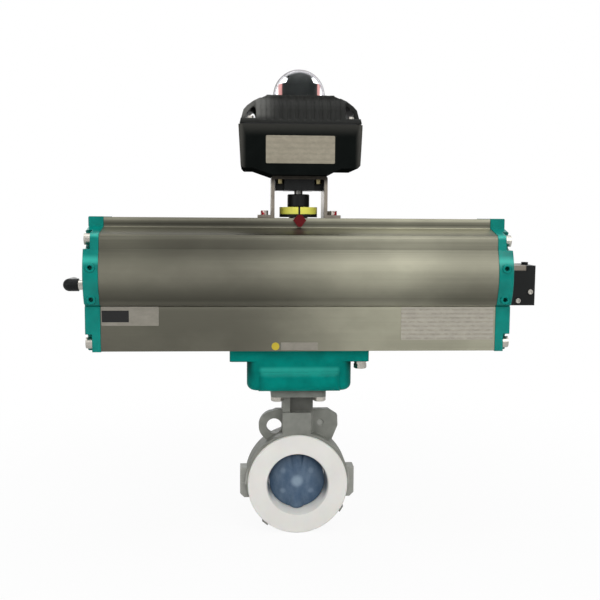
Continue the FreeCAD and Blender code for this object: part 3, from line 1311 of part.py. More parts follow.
def elbow_stub():
    """Plated threaded stub with a hexagon, screwed into the left cap."""
    thread = rod_z(STUB_THREAD_R, -STUB_THREAD, 0)
    collar = hex_z(STUB_HEX, 0, STUB_HEX_LENGTH)
    neck_part = rod_z(STUB_R, STUB_HEX_LENGTH, STUB_LENGTH)
    return laid_along_x(joined([thread, collar, neck_part]), -CAP_X, 0, AXIS_Z + ELBOW_UP, -1)


def elbow_knee_x():
    return -CAP_X - ELBOW_REACH + ELBOW_R


def elbow_body():
    """Moulded elbow: barrel on the stub, rounded knee, leg towards the back."""
    z = AXIS_Z + ELBOW_UP
    knee_x = elbow_knee_x()
    barrel = rod_x(ELBOW_R, -CAP_X - STUB_SHOWN, knee_x, 0, z)
    knee = Part.makeSphere(ELBOW_R, at(knee_x, 0, z))
    leg = rod_y(ELBOW_R, 0, ELBOW_LEG, knee_x, z)
    solid = joined([barrel, knee, leg])
    return solid.cut([rod_x(STUB_R, -CAP_X, -CAP_X - STUB_LENGTH, 0, z),
                      rod_y(TUBE_R, ELBOW_LEG / 4, ELBOW_LEG + 1, knee_x, z),
                      rod_y(COLLET_R - COLLET_STEP, ELBOW_LEG - COLLET_DEPTH, ELBOW_LEG + 1, knee_x, z)])


def elbow_collet():
    """Release collar of the push-in end."""
    z = AXIS_Z + ELBOW_UP
    knee_x = elbow_knee_x()
    end = ELBOW_LEG + COLLET_LENGTH
    sleeve = rod_y(COLLET_R - COLLET_STEP, ELBOW_LEG - COLLET_DEPTH, ELBOW_LEG, knee_x, z)
    rim = rod_y(COLLET_R, ELBOW_LEG, end, knee_x, z)
    return joined([sleeve, rim]).cut(rod_y(TUBE_R, 0, end + 1, knee_x, z))


def pilot_valve():
    """Pilot valve block on the right cap, stepped down for its metal plate, with a button well."""
    low = AXIS_Z + PILOT_LOW
    high = AXIS_Z + PILOT_HIGH
    body = block(CAP_X, CAP_X + PILOT_REACH, -PILOT_HALF_Y, PILOT_HALF_Y, low, high)
    body = body.makeFillet(1.5, bars(body, Z_AXIS))
    step = block(CAP_X - 1, CAP_X + PILOT_PLATE_SHARE, -PILOT_HALF_Y - 1, PILOT_HALF_Y + 1,
                 high - PILOT_PLATE_THICK, high + 1)
    well = rod_z(BUTTON_R + BUTTON_GAP, high - BUTTON_WELL, high + 1, button_x(), 0)
    seats = [rod_y(M4[0], -PILOT_HALF_Y - 1, -PILOT_HALF_Y + 6, x, z) for x, z in pilot_screw_places()]
    return body.cut([step, well] + seats)


def button_x():
    """The button stands in the middle of the block's step beside the plate."""
    return CAP_X + (PILOT_PLATE_SHARE + PILOT_REACH) / 2


def pilot_screw_places():
    low = AXIS_Z + PILOT_LOW
    high = AXIS_Z + PILOT_HIGH
    return [(CAP_X + 6.0, high - 14.0), (CAP_X + 19.5, low + 5.5), (CAP_X + PILOT_REACH - 6.0, low + 16.0)]


def pilot_plate():
    high = AXIS_Z + PILOT_HIGH
    return block(CAP_X, CAP_X + PILOT_PLATE_SHARE, -PILOT_HALF_Y + 1, PILOT_HALF_Y - 1,
                 high - PILOT_PLATE_THICK, high)


def pilot_screws():
    screw = socket_screw((M4[0], 2.9, 1.6), 5.0)
    return [laid_along_y(screw, x, -PILOT_HALF_Y, z, -1) for x, z in pilot_screw_places()]


def override_button():
    """Push button on top of the pilot valve."""
    high = AXIS_Z + PILOT_HIGH
    return rod_z(BUTTON_R, high - BUTTON_WELL + BUTTON_TRAVEL + 0.5, high + BUTTON_PROUD, button_x(), 0)


PARTS = {
    "liner": liner,
    "liner_backing": liner_backing,
    "disc": disc,
    "body_upper": body_upper,
    "body_lower": body_lower,
    "body_screws": body_screws,
    "stem_bush_lower": stem_bush_lower,
    "stem_seal": stem_seal,
    "stem_bush_upper": stem_bush_upper,
    "stem_wiper": stem_wiper,
    "flange_bolts": flange_bolts,
    "adapter_housing": adapter_housing,
    "coupling_sleeve": coupling_sleeve,
    "adapter_bolts": adapter_bolts,
    "actuator_body": actuator_body,
    "pinion_shaft": pinion_shaft,
    "pinion_bearing_lower": pinion_bearing_lower,
    "pinion_bearing_upper": pinion_bearing_upper,
    "position_indicator": position_indicator,
    "indicator_inserts": indicator_inserts,
    "pointer": pointer,
    "shaft_coupling": shaft_coupling,
    "bracket": bracket,
    "bracket_screws": bracket_screws,
    "spacer_block": spacer_block,
    "spacer_screws": spacer_screws,
    "switch_box_base": switch_box_base,
    "switch_box_cover": switch_box_cover,
    "cover_gasket": cover_gasket,
    "cover_screws": cover_screws,
    "cable_plugs": cable_plugs,
    "switch_shaft": switch_shaft,
    "switch_cams": switch_cams,
    "micro_switches": micro_switches,
    "terminal_block": terminal_block,
    "beacon_dome": beacon_dome,
    "beacon_drum": beacon_drum,
    "beacon_vanes": beacon_vanes,
    "elbow_stub": elbow_stub,
    "elbow_body": elbow_body,
    "elbow_collet": elbow_collet,
    "pilot_valve": pilot_valve,
    "pilot_plate": pilot_plate,
    "pilot_screws": pilot_screws,
    "override_button": override_button,
}

PAIRED_PARTS = {
    "end_cap": end_cap,
    "cap_gasket": cap_gasket,
    "cap_screws": cap_screws,
    "piston": piston,
    "piston_ring": piston_ring,
    "rack_pad": rack_pad,
    "return_spring": return_spring,
}


def write(name, made):
    shape = Part.makeCompound(made) if isinstance(made, list) else made
    shape.exportStep("parts/" + name + ".step")


os.makedirs("parts", exist_ok=True)
for part_name, make in PARTS.items():
    write(part_name, make())
for part_name, make in PAIRED_PARTS.items():
    write(part_name + "_left", make(-1))
    write(part_name + "_right", make(1))
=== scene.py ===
"""Looks of a lined wafer butterfly valve with a rack and pinion actuator and a switch box.

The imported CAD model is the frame. This file adds the finishes, label plates, threads and a
studio, and is laid out as a Blender add-on. Lengths are in metres, +Z runs up the stem and
the camera looks along +Y.
"""

from math import cos, pi, radians, sin

import bpy
import numpy as np
from bpy.props import FloatProperty, FloatVectorProperty, PointerProperty
from mathutils import Matrix, Vector


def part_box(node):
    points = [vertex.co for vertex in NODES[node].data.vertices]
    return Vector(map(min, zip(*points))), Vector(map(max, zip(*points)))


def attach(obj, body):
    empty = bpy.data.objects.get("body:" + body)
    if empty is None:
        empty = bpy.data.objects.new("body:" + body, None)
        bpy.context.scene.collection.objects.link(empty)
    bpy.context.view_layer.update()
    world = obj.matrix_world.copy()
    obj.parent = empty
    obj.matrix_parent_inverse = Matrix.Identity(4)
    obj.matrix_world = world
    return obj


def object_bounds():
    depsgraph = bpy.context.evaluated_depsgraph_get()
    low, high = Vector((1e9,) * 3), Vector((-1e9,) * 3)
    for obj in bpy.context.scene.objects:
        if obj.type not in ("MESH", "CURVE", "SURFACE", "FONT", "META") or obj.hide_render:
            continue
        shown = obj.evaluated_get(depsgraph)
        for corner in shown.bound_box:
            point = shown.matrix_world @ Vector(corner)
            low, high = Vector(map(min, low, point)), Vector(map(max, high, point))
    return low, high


bl_info = {
    "name": "Actuated butterfly valve looks",
    "version": (1, 0, 0),
    "blender": (4, 5, 0),
    "location": "View3D > Sidebar > Valve",
    "description": "Finishes, label plates, threads and studio for a lined butterfly valve with its actuator",
    "category": "Object",
}

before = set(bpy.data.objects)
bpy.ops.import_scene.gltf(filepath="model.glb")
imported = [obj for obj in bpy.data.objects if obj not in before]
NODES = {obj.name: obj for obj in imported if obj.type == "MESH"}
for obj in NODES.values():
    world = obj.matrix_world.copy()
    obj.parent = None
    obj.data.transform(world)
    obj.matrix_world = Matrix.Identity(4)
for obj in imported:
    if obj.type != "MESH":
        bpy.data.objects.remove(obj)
CAD_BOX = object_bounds()
SIDES = ("left", "right")
BLACK = (0.0, 0.0, 0.0)
WHITE = (1.0, 1.0, 1.0, 1.0)


def tone(code):
    """Linear colour of an sRGB code such as 0x808080."""
    parts = [(code >> shift & 255) / 255 for shift in (16, 8, 0)]
    return tuple(p / 12.92 if p <= 0.04045 else ((p + 0.055) / 1.055) ** 2.4 for p in parts)


def paint(name, description, code):
    return FloatVectorProperty(name=name, description=description, subtype="COLOR", size=3,
                               min=0.0, max=1.0, default=tone(code))


def length(name, description, millimetres):
    return FloatProperty(name=name, description=description, unit="LENGTH", precision=4,
                         default=millimetres / 1000)


def angle(name, description, degrees):
    return FloatProperty(name=name, description=description, subtype="ANGLE", default=radians(degrees))


def power(name, description, watts):
    return FloatProperty(name=name, description=description, unit="POWER", default=watts)


def place(name, description, millimetres):
    return FloatVectorProperty(name=name, description=description, unit="LENGTH", precision=4,
                               size=len(millimetres), default=[v / 1000 for v in millimetres])


class ValveColours(bpy.types.PropertyGroup):
    """Colours of the valve under the actuator."""

    liner: paint("Liner", "Warm white of the moulded liner", 0xEBE9E4)
    # The rubbed seat tone is painted shade on the liner's seat round the disc.
    rubbed: paint("Rubbed seat", "Slate tone rubbed off by the disc on its seat", 0x323F4C)
    backing: paint("Backing", "Elastomer behind the liner", 0x1B1C1D)
    disc: paint("Disc", "Blue-grey coating of the disc", 0x475D76)
    disc_spot: paint("Disc centre", "Pale round land in the middle of the disc", 0x8C9FB0)
    casting: paint("Body", "Grey paint of the split body", 0x8C8D86)
    casting_low: paint("Body shade", "Darker grey in the mottling of the paint", 0x787973)
    casting_worn: paint("Body edges", "Paint worn pale along the edges", 0xA3A29A)
    # Painted light: the pale tone makes the ears and the dimple paler, as if they caught more light.
    casting_painted_light: paint("Body handled", "Paint rubbed pale on the ears and the dimple", 0xD2D2CC)
    # Painted shade in the recess of the neck and on the flange under the adapter.
    painted_shade: paint("Grime", "Dirt in the recess of the neck and under the adapter", 0x2E2E2A)
    bush: paint("Stem bushes", "Bearing plastic round the stem", 0x3A3B35)
    seal: paint("Seals", "Black rubber of the seals and gaskets", 0x151617)


class ActuatorColours(bpy.types.PropertyGroup):
    """Colours of the actuator and of what stands on it."""

    teal: paint("Teal paint", "Gloss paint of the end caps and the adapter", 0x00857A)
    teal_low: paint("Teal shade", "Deeper teal in the mottling of the paint", 0x007269)
    # Painted highlight on the caps' shoulders and the pads' top; nearly black, it is painted shade under the
    # plate.
    teal_highlight: paint("Pale teal", "Paint rubbed pale on the raised edges", 0x49D2C0)
    # Painted reflection: the barrel is paler at the right and darker at the left; the darker tone also tints
    # its random mottling.
    barrel: paint("Barrel", "Matt anodised aluminium at the right of the barrel", 0xB3B19D)
    barrel_mottle_and_shade: paint("Barrel shade", "Darker tone of the anodising at the left", 0x7E7C6F)
    stainless: paint("Stainless", "Screws and plates", 0xC3BFB6)
    steel: paint("Steel", "Machined shafts and sleeves", 0x9A9995)
    brass: paint("Plated brass", "Yellow plated screws", 0x8F8462)
    cast_piston: paint("Piston", "Raw die-cast aluminium", 0xA9A9A6)
    spring: paint("Spring", "Coated spring steel", 0x2A3550)
    plastic: paint("Black plastic", "Coupling, spacer and fittings", 0x1C1D1D)
    bracket: paint("Bracket", "Bent stainless sheet", 0x867F75)


class BoxColours(bpy.types.PropertyGroup):
    """Colours of the switch box, the beacon and the label plates."""

    base: paint("Box base", "Powder coat of the box base", 0x131615)
    base_worn: paint("Base edges", "Coat worn along the edges of the base", 0x2A2C2A)
    # Painted highlight along the base's upright edges, and a paler band under the joint.
    base_highlight: paint("Base dust", "Dust along the upright edges of the base", 0x7C7A74)
    cover: paint("Box cover", "Powder coat of the box cover", 0x20211F)
    cover_worn: paint("Cover edges", "Coat worn along the edges of the cover", 0x494A47)
    # Painted light on the cover's left shoulder.
    cover_highlight: paint("Cover dust", "Dust on the left shoulder of the cover", 0x8A8A86)
    yellow: paint("Yellow", "Indicator yellow", 0xFBF76A)
    red: paint("Red", "Indicator red", 0x96141F)
    window: paint("Window", "Pale red of the beacon's side windows", 0xD08F8A)
    cam: paint("Cams", "Moulded switch cams", 0xC9A227)
    terminal: paint("Terminals", "Moulded terminal block", 0x4E6B57)
    dome: paint("Dome", "Tint of the clear dome", 0xFBFCFD)
    dome_rim: paint("Dome rim", "Tint of the dome's wall seen edge-on", 0x858084)
    foil: paint("Foil", "Pale foil of the barrel plates", 0xADA89B)
    box_foil: paint("Box foil", "Brushed foil of the box plate", 0x97907F)
    ink: paint("Ink", "Plain dark block on the left plate", 0x181818)
    dot: paint("Dot", "Golden yellow of the dot beside the strip", 0xC6B236)


class LabelSizes(bpy.types.PropertyGroup):
    """Places and sizes of the bare label plates: centre x and z, width and height."""

    left_plate: place("Left plate", "Foil plate at the barrel's left end", (-189.7, 206.4, 63.4, 21.4))
    ink_block: place("Ink block", "Plain dark block on the left plate", (-205.9, 206.2, 29.8, 13.0))
    right_plate: place("Right plate", "Foil plate at the barrel's right end", (166.9, 198.0, 105.8, 37.6))
    strip: place("Strip", "Small strip at the foot of the barrel", (-1.0, 172.2, 41.6, 8.8))
    dot: place("Dot", "Yellow dot beside the strip", (-28.1, 172.2, 8.8, 8.8))
    box_plate: place("Box plate", "Foil plate on the front of the switch box", (-0.5, 392.3, 77.4, 30.8))
    thickness: length("Thickness", "Thickness of every plate on the barrel", 0.4)
    corner: length("Corner radius", "Corner radius of the plates", 1.2)
    barrel_face: length("Barrel face", "Front face of the barrel's foot, along Y", -59.5)
    ruling: length("Ruling", "Pitch of the faint ruling on the barrel plates", 4.7)
    box_ruling: length("Box ruling", "Pitch of the faint ruling on the box plate", 6.2)


class PortSizes(bpy.types.PropertyGroup):
    """Sizes of the threads in the two air ports on the back of the barrel."""

    spacing: length("Spacing", "Distance between the two ports", 24.0)
    height: length("Height", "Height of the ports above the foot of the barrel", 25.0)
    face: length("Face", "Back face of the barrel's foot, along Y", 59.4)
    radius: length("Radius", "Radius of the port hole", 5.6)
    depth: length("Depth", "Threaded depth", 10.0)
    pitch: length("Pitch", "Pitch of the thread", 1.34)
    tooth: length("Tooth", "Height of the thread", 0.55)


class StudioSettings(bpy.types.PropertyGroup):
    """Camera, lamps and floor."""

    lens: FloatProperty(name="Lens", description="Focal length on a 36 mm sensor", unit="CAMERA",
                        default=50.0)
    eye: place("Camera place", "Where the camera stands", (-56.2, -988.0, 316.4))
    turn: angle("Turn", "Camera turned towards +X", 3.415)
    tilt: angle("Tilt", "Camera tilted down", 5.634)
    roll: angle("Roll", "Camera rolled, so that the picture turns clockwise", 0.366)
    key: power("Key lamp", "Power of the key lamp", 36.0)
    fill: power("Fill lamp", "Power of the fill lamp", 14.0)
    top: power("Top lamp", "Power of the lamp overhead", 20.0)
    back: power("Back lamp", "Power of the lamp behind", 20.0)
    sky: FloatProperty(name="Room light", description="Strength of the even light from all round",
                       min=0.0, default=0.25)
    floor_gap: length("Floor gap", "Gap between the object and the floor", 0.3)
    floor_reach: length("Floor reach", "Half the side of the floor", 40000.0)


GROUPS = {
    "valve_colours": ValveColours,
    "actuator_colours": ActuatorColours,
    "box_colours": BoxColours,
    "label_sizes": LabelSizes,
    "port_sizes": PortSizes,
    "studio": StudioSettings,
}


class Nodes:
    """A node tree and the short calls that build it."""

    def __init__(self, tree):
        self.tree = tree

    def add(self, kind, **settings):
        node = self.tree.nodes.new(kind)
        for key, value in settings.items():
            setattr(node, key, value)
        return node

    def link(self, source, target):
        self.tree.links.new(source, target)

    def feed(self, target, value):
        """Links a socket, or writes a plain value into the target."""
        if isinstance(value, bpy.types.NodeSocket):
            self.link(value, target)
        else:
            target.default_value = value

    def fill(self, node, *values):
        """Feeds the node's first inputs in their order and returns its first output."""
        for target, value in zip(node.inputs, values):
            self.feed(target, value)
        return node.outputs[0]

    def maths(self, operation, *values):
        return self.fill(self.add("ShaderNodeMath", operation=operation), *values)

    def times(self, *shares):
        """The product of all the shares."""
        product = shares[0]
        for share in shares[1:]:
            product = self.maths("MULTIPLY", product, share)
        return product

    def most(self, *shares):
        """The largest of the shares."""
        largest = shares[0]
        for share in shares[1:]:
            largest = self.maths("MAXIMUM", largest, share)
        return largest

    def off(self, value):
        """How far a coordinate lies from 0, to either side."""
        return self.maths("ABSOLUTE", value)

    def away(self, u, v, centre=(0.0, 0.0)):
        """Distance of (u, v) from the centre: the root of the sum of the squares of the two gaps."""
        squares = [self.maths("POWER", self.maths("SUBTRACT", value, middle), 2.0)
                   for value, middle in zip((u, v), centre)]
        return self.maths("SQRT", self.maths("ADD", *squares))

    def span(self, value, from_low, from_high, low=0.0, high=1.0, smooth=False):
        """The value carried from one range to another, held at its ends."""
        node = self.add("ShaderNodeMapRange", interpolation_type="SMOOTHSTEP" if smooth else "LINEAR")
        return self.fill(node, value, from_low, from_high, low, high)

    def rise(self, value, edge, top=1.0):
        """0 before the edge's start, smoothly up to top at its end."""
        return self.span(value, *edge, 0.0, top, True)

    def fall(self, value, edge, top=1.0):
        """The top before the edge's start, smoothly down to 0 at its end."""
        return self.span(value, *edge, top, 0.0, True)

    def hump(self, value, foot, crest, top):
        """0 at the foot and the top, 1 at the crest, with smooth flanks."""
        return self.times(self.rise(value, (foot, crest)), self.fall(value, (crest, top)))

    def blend(self, share, a, b):
        """Colour a where share is 0 and colour b where it is 1."""
        node = self.add("ShaderNodeMix", data_type="RGBA")
        self.feed(node.inputs[0], share)
        for target, value in ((node.inputs[6], a), (node.inputs[7], b)):
            self.feed(target, value if isinstance(value, bpy.types.NodeSocket) else (*value, 1.0))
        return node.outputs[2]

    def mix(self, share, first, second):
        """The first shader where share is 0 and the second where it is 1."""
        return self.fill(self.add("ShaderNodeMixShader"), share, first, second)

    def split(self, vector):
        """The three parts of a vector as plain values."""
        node = self.add("ShaderNodeSeparateXYZ")
        self.link(vector, node.inputs[0])
        return node.outputs

    def ramp(self, value, stops):
        """A grey ramp through (place, brightness) stops."""
        node = self.add("ShaderNodeValToRGB")
        marks = node.color_ramp.elements
        while len(marks) < len(stops):
            marks.new(1.0)
        for mark, (spot, level) in zip(marks, stops):
            mark.position = spot
            mark.color = (level, level, level, 1.0)
        return self.fill(node, value)


class Finish(Nodes):
    """A node material: one Principled shader whose patterns read Object coordinates."""

    def __init__(self, name, colour, metallic, roughness, coat=0.0, ior=1.5, shine=0.5):
        self.material = bpy.data.materials.new(name)
        self.material.use_nodes = True
        super().__init__(self.material.node_tree)
        self.shader = self.tree.nodes["Principled BSDF"]
        self.where = self.add("ShaderNodeTexCoord").outputs["Object"]
        self.set("Base Color", (*colour, 1.0))
        self.set("Metallic", metallic)
        self.set("Roughness", roughness)
        self.set("IOR", ior)
        self.set("Specular IOR Level", shine)
        self.set("Coat Weight", coat)
        self.set("Coat Roughness", 0.12)

    def set(self, socket, value):
        self.shader.inputs[socket].default_value = value

    def colour(self, socket):
        self.link(socket, self.shader.inputs["Base Color"])

    def roughness(self, socket):
        self.link(socket, self.shader.inputs["Roughness"])

    def surface(self, shader):
        """Puts another shader in the place of the Principled one."""
        self.link(shader, self.tree.nodes["Material Output"].inputs["Surface"])

    def along(self):
        """The three Object coordinates as plain values."""
        return self.split(self.where)

    def noise(self, size, stretch=(1.0, 1.0, 1.0), detail=3.0, harsh=0.5):
        """Noise with features about size metres across, drawn out by stretch along each axis."""
        mapping = self.add("ShaderNodeMapping")
        mapping.inputs["Scale"].default_value = [1 / (size * s) for s in stretch]
        self.link(self.where, mapping.inputs["Vector"])
        node = self.add("ShaderNodeTexNoise")
        node.inputs["Scale"].default_value = 1.0
        node.inputs["Detail"].default_value = detail
        node.inputs["Roughness"].default_value = harsh
        self.link(mapping.outputs[0], node.inputs["Vector"])
        return node.outputs["Fac"]

    def rounded(self, radius):
        """The surface's direction with its edges rounded by the radius."""
        soft = self.add("ShaderNodeBevel", samples=4)
        soft.inputs["Radius"].default_value = radius
        return soft.outputs[0]

    def worn_edges(self, radius, share):
        """0 on open faces and the share along edges sharper than the radius: how far a rounded normal leaves
        the true one."""
        dot = self.add("ShaderNodeVectorMath", operation="DOT_PRODUCT")
        self.link(self.rounded(radius), dot.inputs[0])
        self.link(self.add("ShaderNodeNewGeometry").outputs["Normal"], dot.inputs[1])
        return self.rise(self.maths("SUBTRACT", 1.0, dot.outputs["Value"]), (0.03, 0.3), share)

    def relief(self, height, depth, radius):
        """Bump of that depth in metres, over edges rounded by the radius."""
        bump = self.add("ShaderNodeBump")
        bump.inputs["Distance"].default_value = depth
        self.feed(bump.inputs["Height"], height)
        self.link(self.rounded(radius), bump.inputs["Normal"])
        self.link(bump.outputs[0], self.shader.inputs["Normal"])

    def uneven(self, noise, colour, share, low=0.35):
        """The colour, shaded by the share where the noise is strong."""
        return self.blend(self.span(noise, low, 0.75), colour, shaded(colour, share))

    def grained(self, noise, roughness, depth, edge):
        """Roughness between two values and relief, both from the noise, over rounded edges."""
        self.roughness(self.span(noise, 0.3, 0.7, *roughness))
        self.relief(noise, depth, edge)


def shaded(colour, share):
    return tuple(c * share for c in colour)


def mottled(name, colour, low, grain, depth, roughness, metallic=0.0, coat=0.0, edge=0.0008, wear=None,
            shine=0.3, stain=None):
    """Paint or coat: two tones in soft blotches, a fine grain in relief, edges rounded and a little worn;
    stain may carry the colour further."""
    made = Finish(name, colour, metallic, roughness[0], coat, shine=shine)
    blotch = made.noise(0.018, detail=4.0)
    body = made.blend(made.span(blotch, 0.35, 0.7), colour, low)
    if wear is not None:
        body = made.blend(made.worn_edges(edge, 0.55), body, wear)
    if stain is not None:
        body = stain(made, body)
    made.colour(body)
    made.grained(made.noise(grain, detail=5.0, harsh=0.6), roughness, depth, edge)
    return made


def machined(name, colour, roughness=(0.22, 0.38), stretch=(1.0, 1.0, 1.0), edge=0.0004, stain=None):
    """Bare metal: fine scratches drawn out along one axis, faint stains and bright rounded edges; stain may
    carry the colour further."""
    made = Finish(name, colour, 1.0, roughness[0])
    body = made.uneven(made.noise(0.012, detail=4.0), colour, 0.72)
    if stain is not None:
        body = stain(made, body)
    made.colour(body)
    made.grained(made.noise(0.0005, stretch, detail=2.0), roughness, 0.00002, edge)
    return made


def moulded(name, colour, roughness, shine=0.3):
    """Plastic or rubber: one colour with a faint drift, a fine moulded grain and softened edges."""
    made = Finish(name, colour, 0.0, roughness[0], shine=shine)
    made.colour(made.uneven(made.noise(0.02), colour, 0.86, 0.3))
    made.grained(made.noise(0.0006), roughness, 0.00002, 0.0005)
    return made


def dress(finish, *names):
    """Gives CAD nodes their finish through their material slots."""
    for name in names:
        slots = NODES[name].data.materials
        slots.clear()
        slots.append(finish.material)


def both(name):
    return [f"{name}_{side}" for side in SIDES]


def add_object(name, data):
    thing = bpy.data.objects.new(name, data)
    bpy.context.scene.collection.objects.link(thing)
    return thing


def add_mesh(name, points, faces, finish):
    """A new object from an array of points and a list of faces."""
    mesh = bpy.data.meshes.new(name)
    mesh.from_pydata(points.tolist(), [], faces)
    mesh.validate()
    mesh.materials.append(finish.material)
    return add_object(name, mesh)


def put_piece(name, rings, finish, body, closed_along=False):
    """A piece from a grid of points: rows of rings, each joined to the next by quads, and either closed on
    itself along the rows or shut by one face at each end. The points are in the object's own frame."""
    rows, around = rings.shape[:2]
    index = np.arange(rows * around).reshape(rows, around)
    if closed_along:
        index = np.vstack([index, index[:1]])
    near, far = index[:-1], index[1:]
    quads = np.stack([near, np.roll(near, -1, 1), np.roll(far, -1, 1), far], axis=-1).reshape(-1, 4)
    faces = quads.tolist()
    if not closed_along:
        faces += [index[0][::-1].tolist(), index[-1].tolist()]
    piece = add_mesh(name, rings.reshape(-1, 3), faces, finish)
    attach(piece, body)


# Points round each corner of a plate.
CORNER_STEPS = 10


def rounded_outline(half_u, half_v, corner):
    """Rounded rectangle, counter-clockwise: corner centres plus the corner radius times (cos t, sin t)."""
    turn = np.linspace(0, pi / 2, CORNER_STEPS)
    quarters = np.arange(4)[:, None] * pi / 2
    t = (turn[None, :] + quarters).ravel()
    sign_u = np.repeat([1, -1, -1, 1], CORNER_STEPS)
    sign_v = np.repeat([1, 1, -1, -1], CORNER_STEPS)
    u = sign_u * (half_u - corner) + corner * np.cos(t)
    v = sign_v * (half_v - corner) + corner * np.sin(t)
    return np.stack([u, v], axis=-1)


# Rolled edge of a plate, from its foot to its flat front: how far in and how high, in thicknesses.
ROLLED_INSET = (0.0, 0.0, 0.3, 1.0, 3.0)
ROLLED_LIFT = (-0.2, 0.7, 0.93, 1.0, 1.0)


def front_plate(name, spot, face_y, thickness, corner, finish):
    """Thin plate on a face that looks along -Y: the rounded rectangle raised by the thickness and drawn in
    over a rolled edge, row by row, with a flat front."""
    x, z, width, height = spot
    rows = []
    for inset, lift in zip(ROLLED_INSET, ROLLED_LIFT):
        inset *= thickness
        radius = max(corner - inset, thickness / 4)
        flat = rounded_outline(width / 2 - inset, height / 2 - inset, radius)
        level = np.full(len(flat), face_y - lift * thickness)
        rows.append(np.stack([x + flat[:, 0], level, z + flat[:, 1]], axis=-1))
    put_piece(name, np.array(rows), finish, "housing")


# Threaded liner: points round it and along one pitch, its gap to the hole's wall and its least wall.
THREAD_AROUND = 56
THREAD_STEPS = 10
THREAD_GAP = 0.00002
THREAD_WALL = 0.00005


def port_thread(name, x, z, sizes, finish):
    """Threaded liner of a port hole: the inner wall's radius falls by a triangle wave of the depth less the
    turn, the outer wall is plain, and the two are joined at both ends into a closed ring."""
    along = int(sizes.depth / sizes.pitch * THREAD_STEPS)
    turn = np.linspace(0, 2 * pi, THREAD_AROUND, endpoint=False)
    depth = np.linspace(0, sizes.depth, along)
    phase = depth[:, None] / sizes.pitch - turn[None, :] / (2 * pi)
    wave = np.abs(phase % 1.0 - 0.5) * 2
    fade = np.clip(np.minimum(depth, sizes.depth - depth) / sizes.pitch, 0, 1)[:, None]
    outer_r = sizes.radius - THREAD_GAP
    inner = outer_r - THREAD_WALL - sizes.tooth * wave * fade
    outer = np.full((2, THREAD_AROUND), outer_r)
    radius = np.vstack([inner, outer])
    reach = np.concatenate([depth, [sizes.depth, 0.0]])
    y = np.broadcast_to(sizes.face - reach[:, None], radius.shape)
    rings = np.stack([x + radius * np.cos(turn), y, z + radius * np.sin(turn)], axis=-1)
    put_piece(name, rings[:, ::-1], finish, "housing", closed_along=True)


# Liner: painted shade on the seat round the disc, within this radius and above this height.
SEAT_SHADE_RADIUS = (0.0352, 0.0368)
SEAT_SHADE_HEIGHT = (-0.024, -0.004)


class FINISH_OT_liner(bpy.types.Operator):
    """Moulded white liner with painted shade on its seat round the disc, its elastomer backing and the soft
    seals.
    """

    bl_idname = "valve.finish_liner"
    bl_label = "Finish liner and seals"

    def execute(self, context):
        colours = context.scene.valve_colours
        made = Finish("moulded_liner", colours.liner, 0.0, 0.42, ior=1.38, shine=0.3)
        body = made.uneven(made.noise(0.03), colours.liner, 0.93, 0.3)
        x, _, z = made.along()
        # The rubbed share is painted shade on the seat round the disc, at its top and sides.
        rubbed = made.times(made.fall(made.away(x, z), SEAT_SHADE_RADIUS, 0.9), made.rise(z, SEAT_SHADE_HEIGHT))
        made.colour(made.blend(rubbed, body, colours.rubbed))
        made.grained(made.noise(0.0012, detail=4.0), (0.36, 0.5), 0.00003, 0.0006)
        made.set("Subsurface Weight", 0.15)
        made.set("Subsurface Scale", 0.003)
        dress(made, "liner")
        dress(moulded("elastomer_backing", colours.backing, (0.6, 0.75)), "liner_backing")
        rubber = moulded("seal_rubber", colours.seal, (0.5, 0.65))
        dress(rubber, "stem_seal", "stem_wiper", "cover_gasket", *both("cap_gasket"), *both("piston_ring"))
        dress(moulded("bearing_plastic", colours.bush, (0.4, 0.5)), "stem_bush_lower", "stem_bush_upper")
        return {"FINISHED"}


# Disc: where the pale land in the middle and the four marks fade, from their centres, and where the painted
# shade on the upper rim starts and is full, out from the middle and up.
LAND_EDGE = (0.003, 0.0095)
MARK_CENTRE = (0.017, 0.0125)
MARK_EDGE = (0.001, 0.0052)
SHADED_RIM_EDGE = (0.028, 0.0335)
SHADED_RIM_HEIGHT = (-0.01, 0.03)


class FINISH_OT_disc(bpy.types.Operator):
    """Coated disc with its stem: glossy blue-grey, a pale land in the middle, four faint marks and painted
    shade along its upper rim.
    """

    bl_idname = "valve.finish_disc"
    bl_label = "Finish disc"

    def execute(self, context):
        colours = context.scene.valve_colours
        made = Finish("coated_disc", colours.disc, 0.0, 0.28, coat=0.1, shine=0.25)
        x, _, z = made.along()
        middle = made.away(x, z)
        cloud = made.span(made.noise(0.014, (0.7, 1.0, 1.4)), 0.35, 0.75, 0.0, 0.3)
        marks = made.fall(made.away(made.off(x), made.off(z), MARK_CENTRE), MARK_EDGE, 0.36)
        land = made.fall(middle, LAND_EDGE, 0.85)
        body = colours.disc
        for share in (cloud, marks, land):
            body = made.blend(share, body, colours.disc_spot)
        # Painted shade: the rim darkens towards the top.
        rim = made.times(made.rise(middle, SHADED_RIM_EDGE), made.span(z, *SHADED_RIM_HEIGHT, high=0.75))
        made.colour(made.blend(rim, body, shaded(colours.disc, 0.3)))
        made.grained(made.noise(0.0008), (0.22, 0.34), 0.00001, 0.0025)
        dress(made, "disc")
        return {"FINISHED"}


# Body: ends of the ears and the dimple, which get painted light, the recess in the neck (its face, foot and
# side) and the flange's top, which get painted shade.
EAR_END = (0.058, 0.061)
DIMPLE_CENTRE = (0.0277, 0.071)
DIMPLE_EDGE = (0.0028, 0.0048)
RECESS_FACE = (-0.0172, -0.0165)
RECESS_FOOT = (0.0855, 0.088)
RECESS_SIDE = (0.0178, 0.0186)
FLANGE_TOP = (0.111, 0.1175)


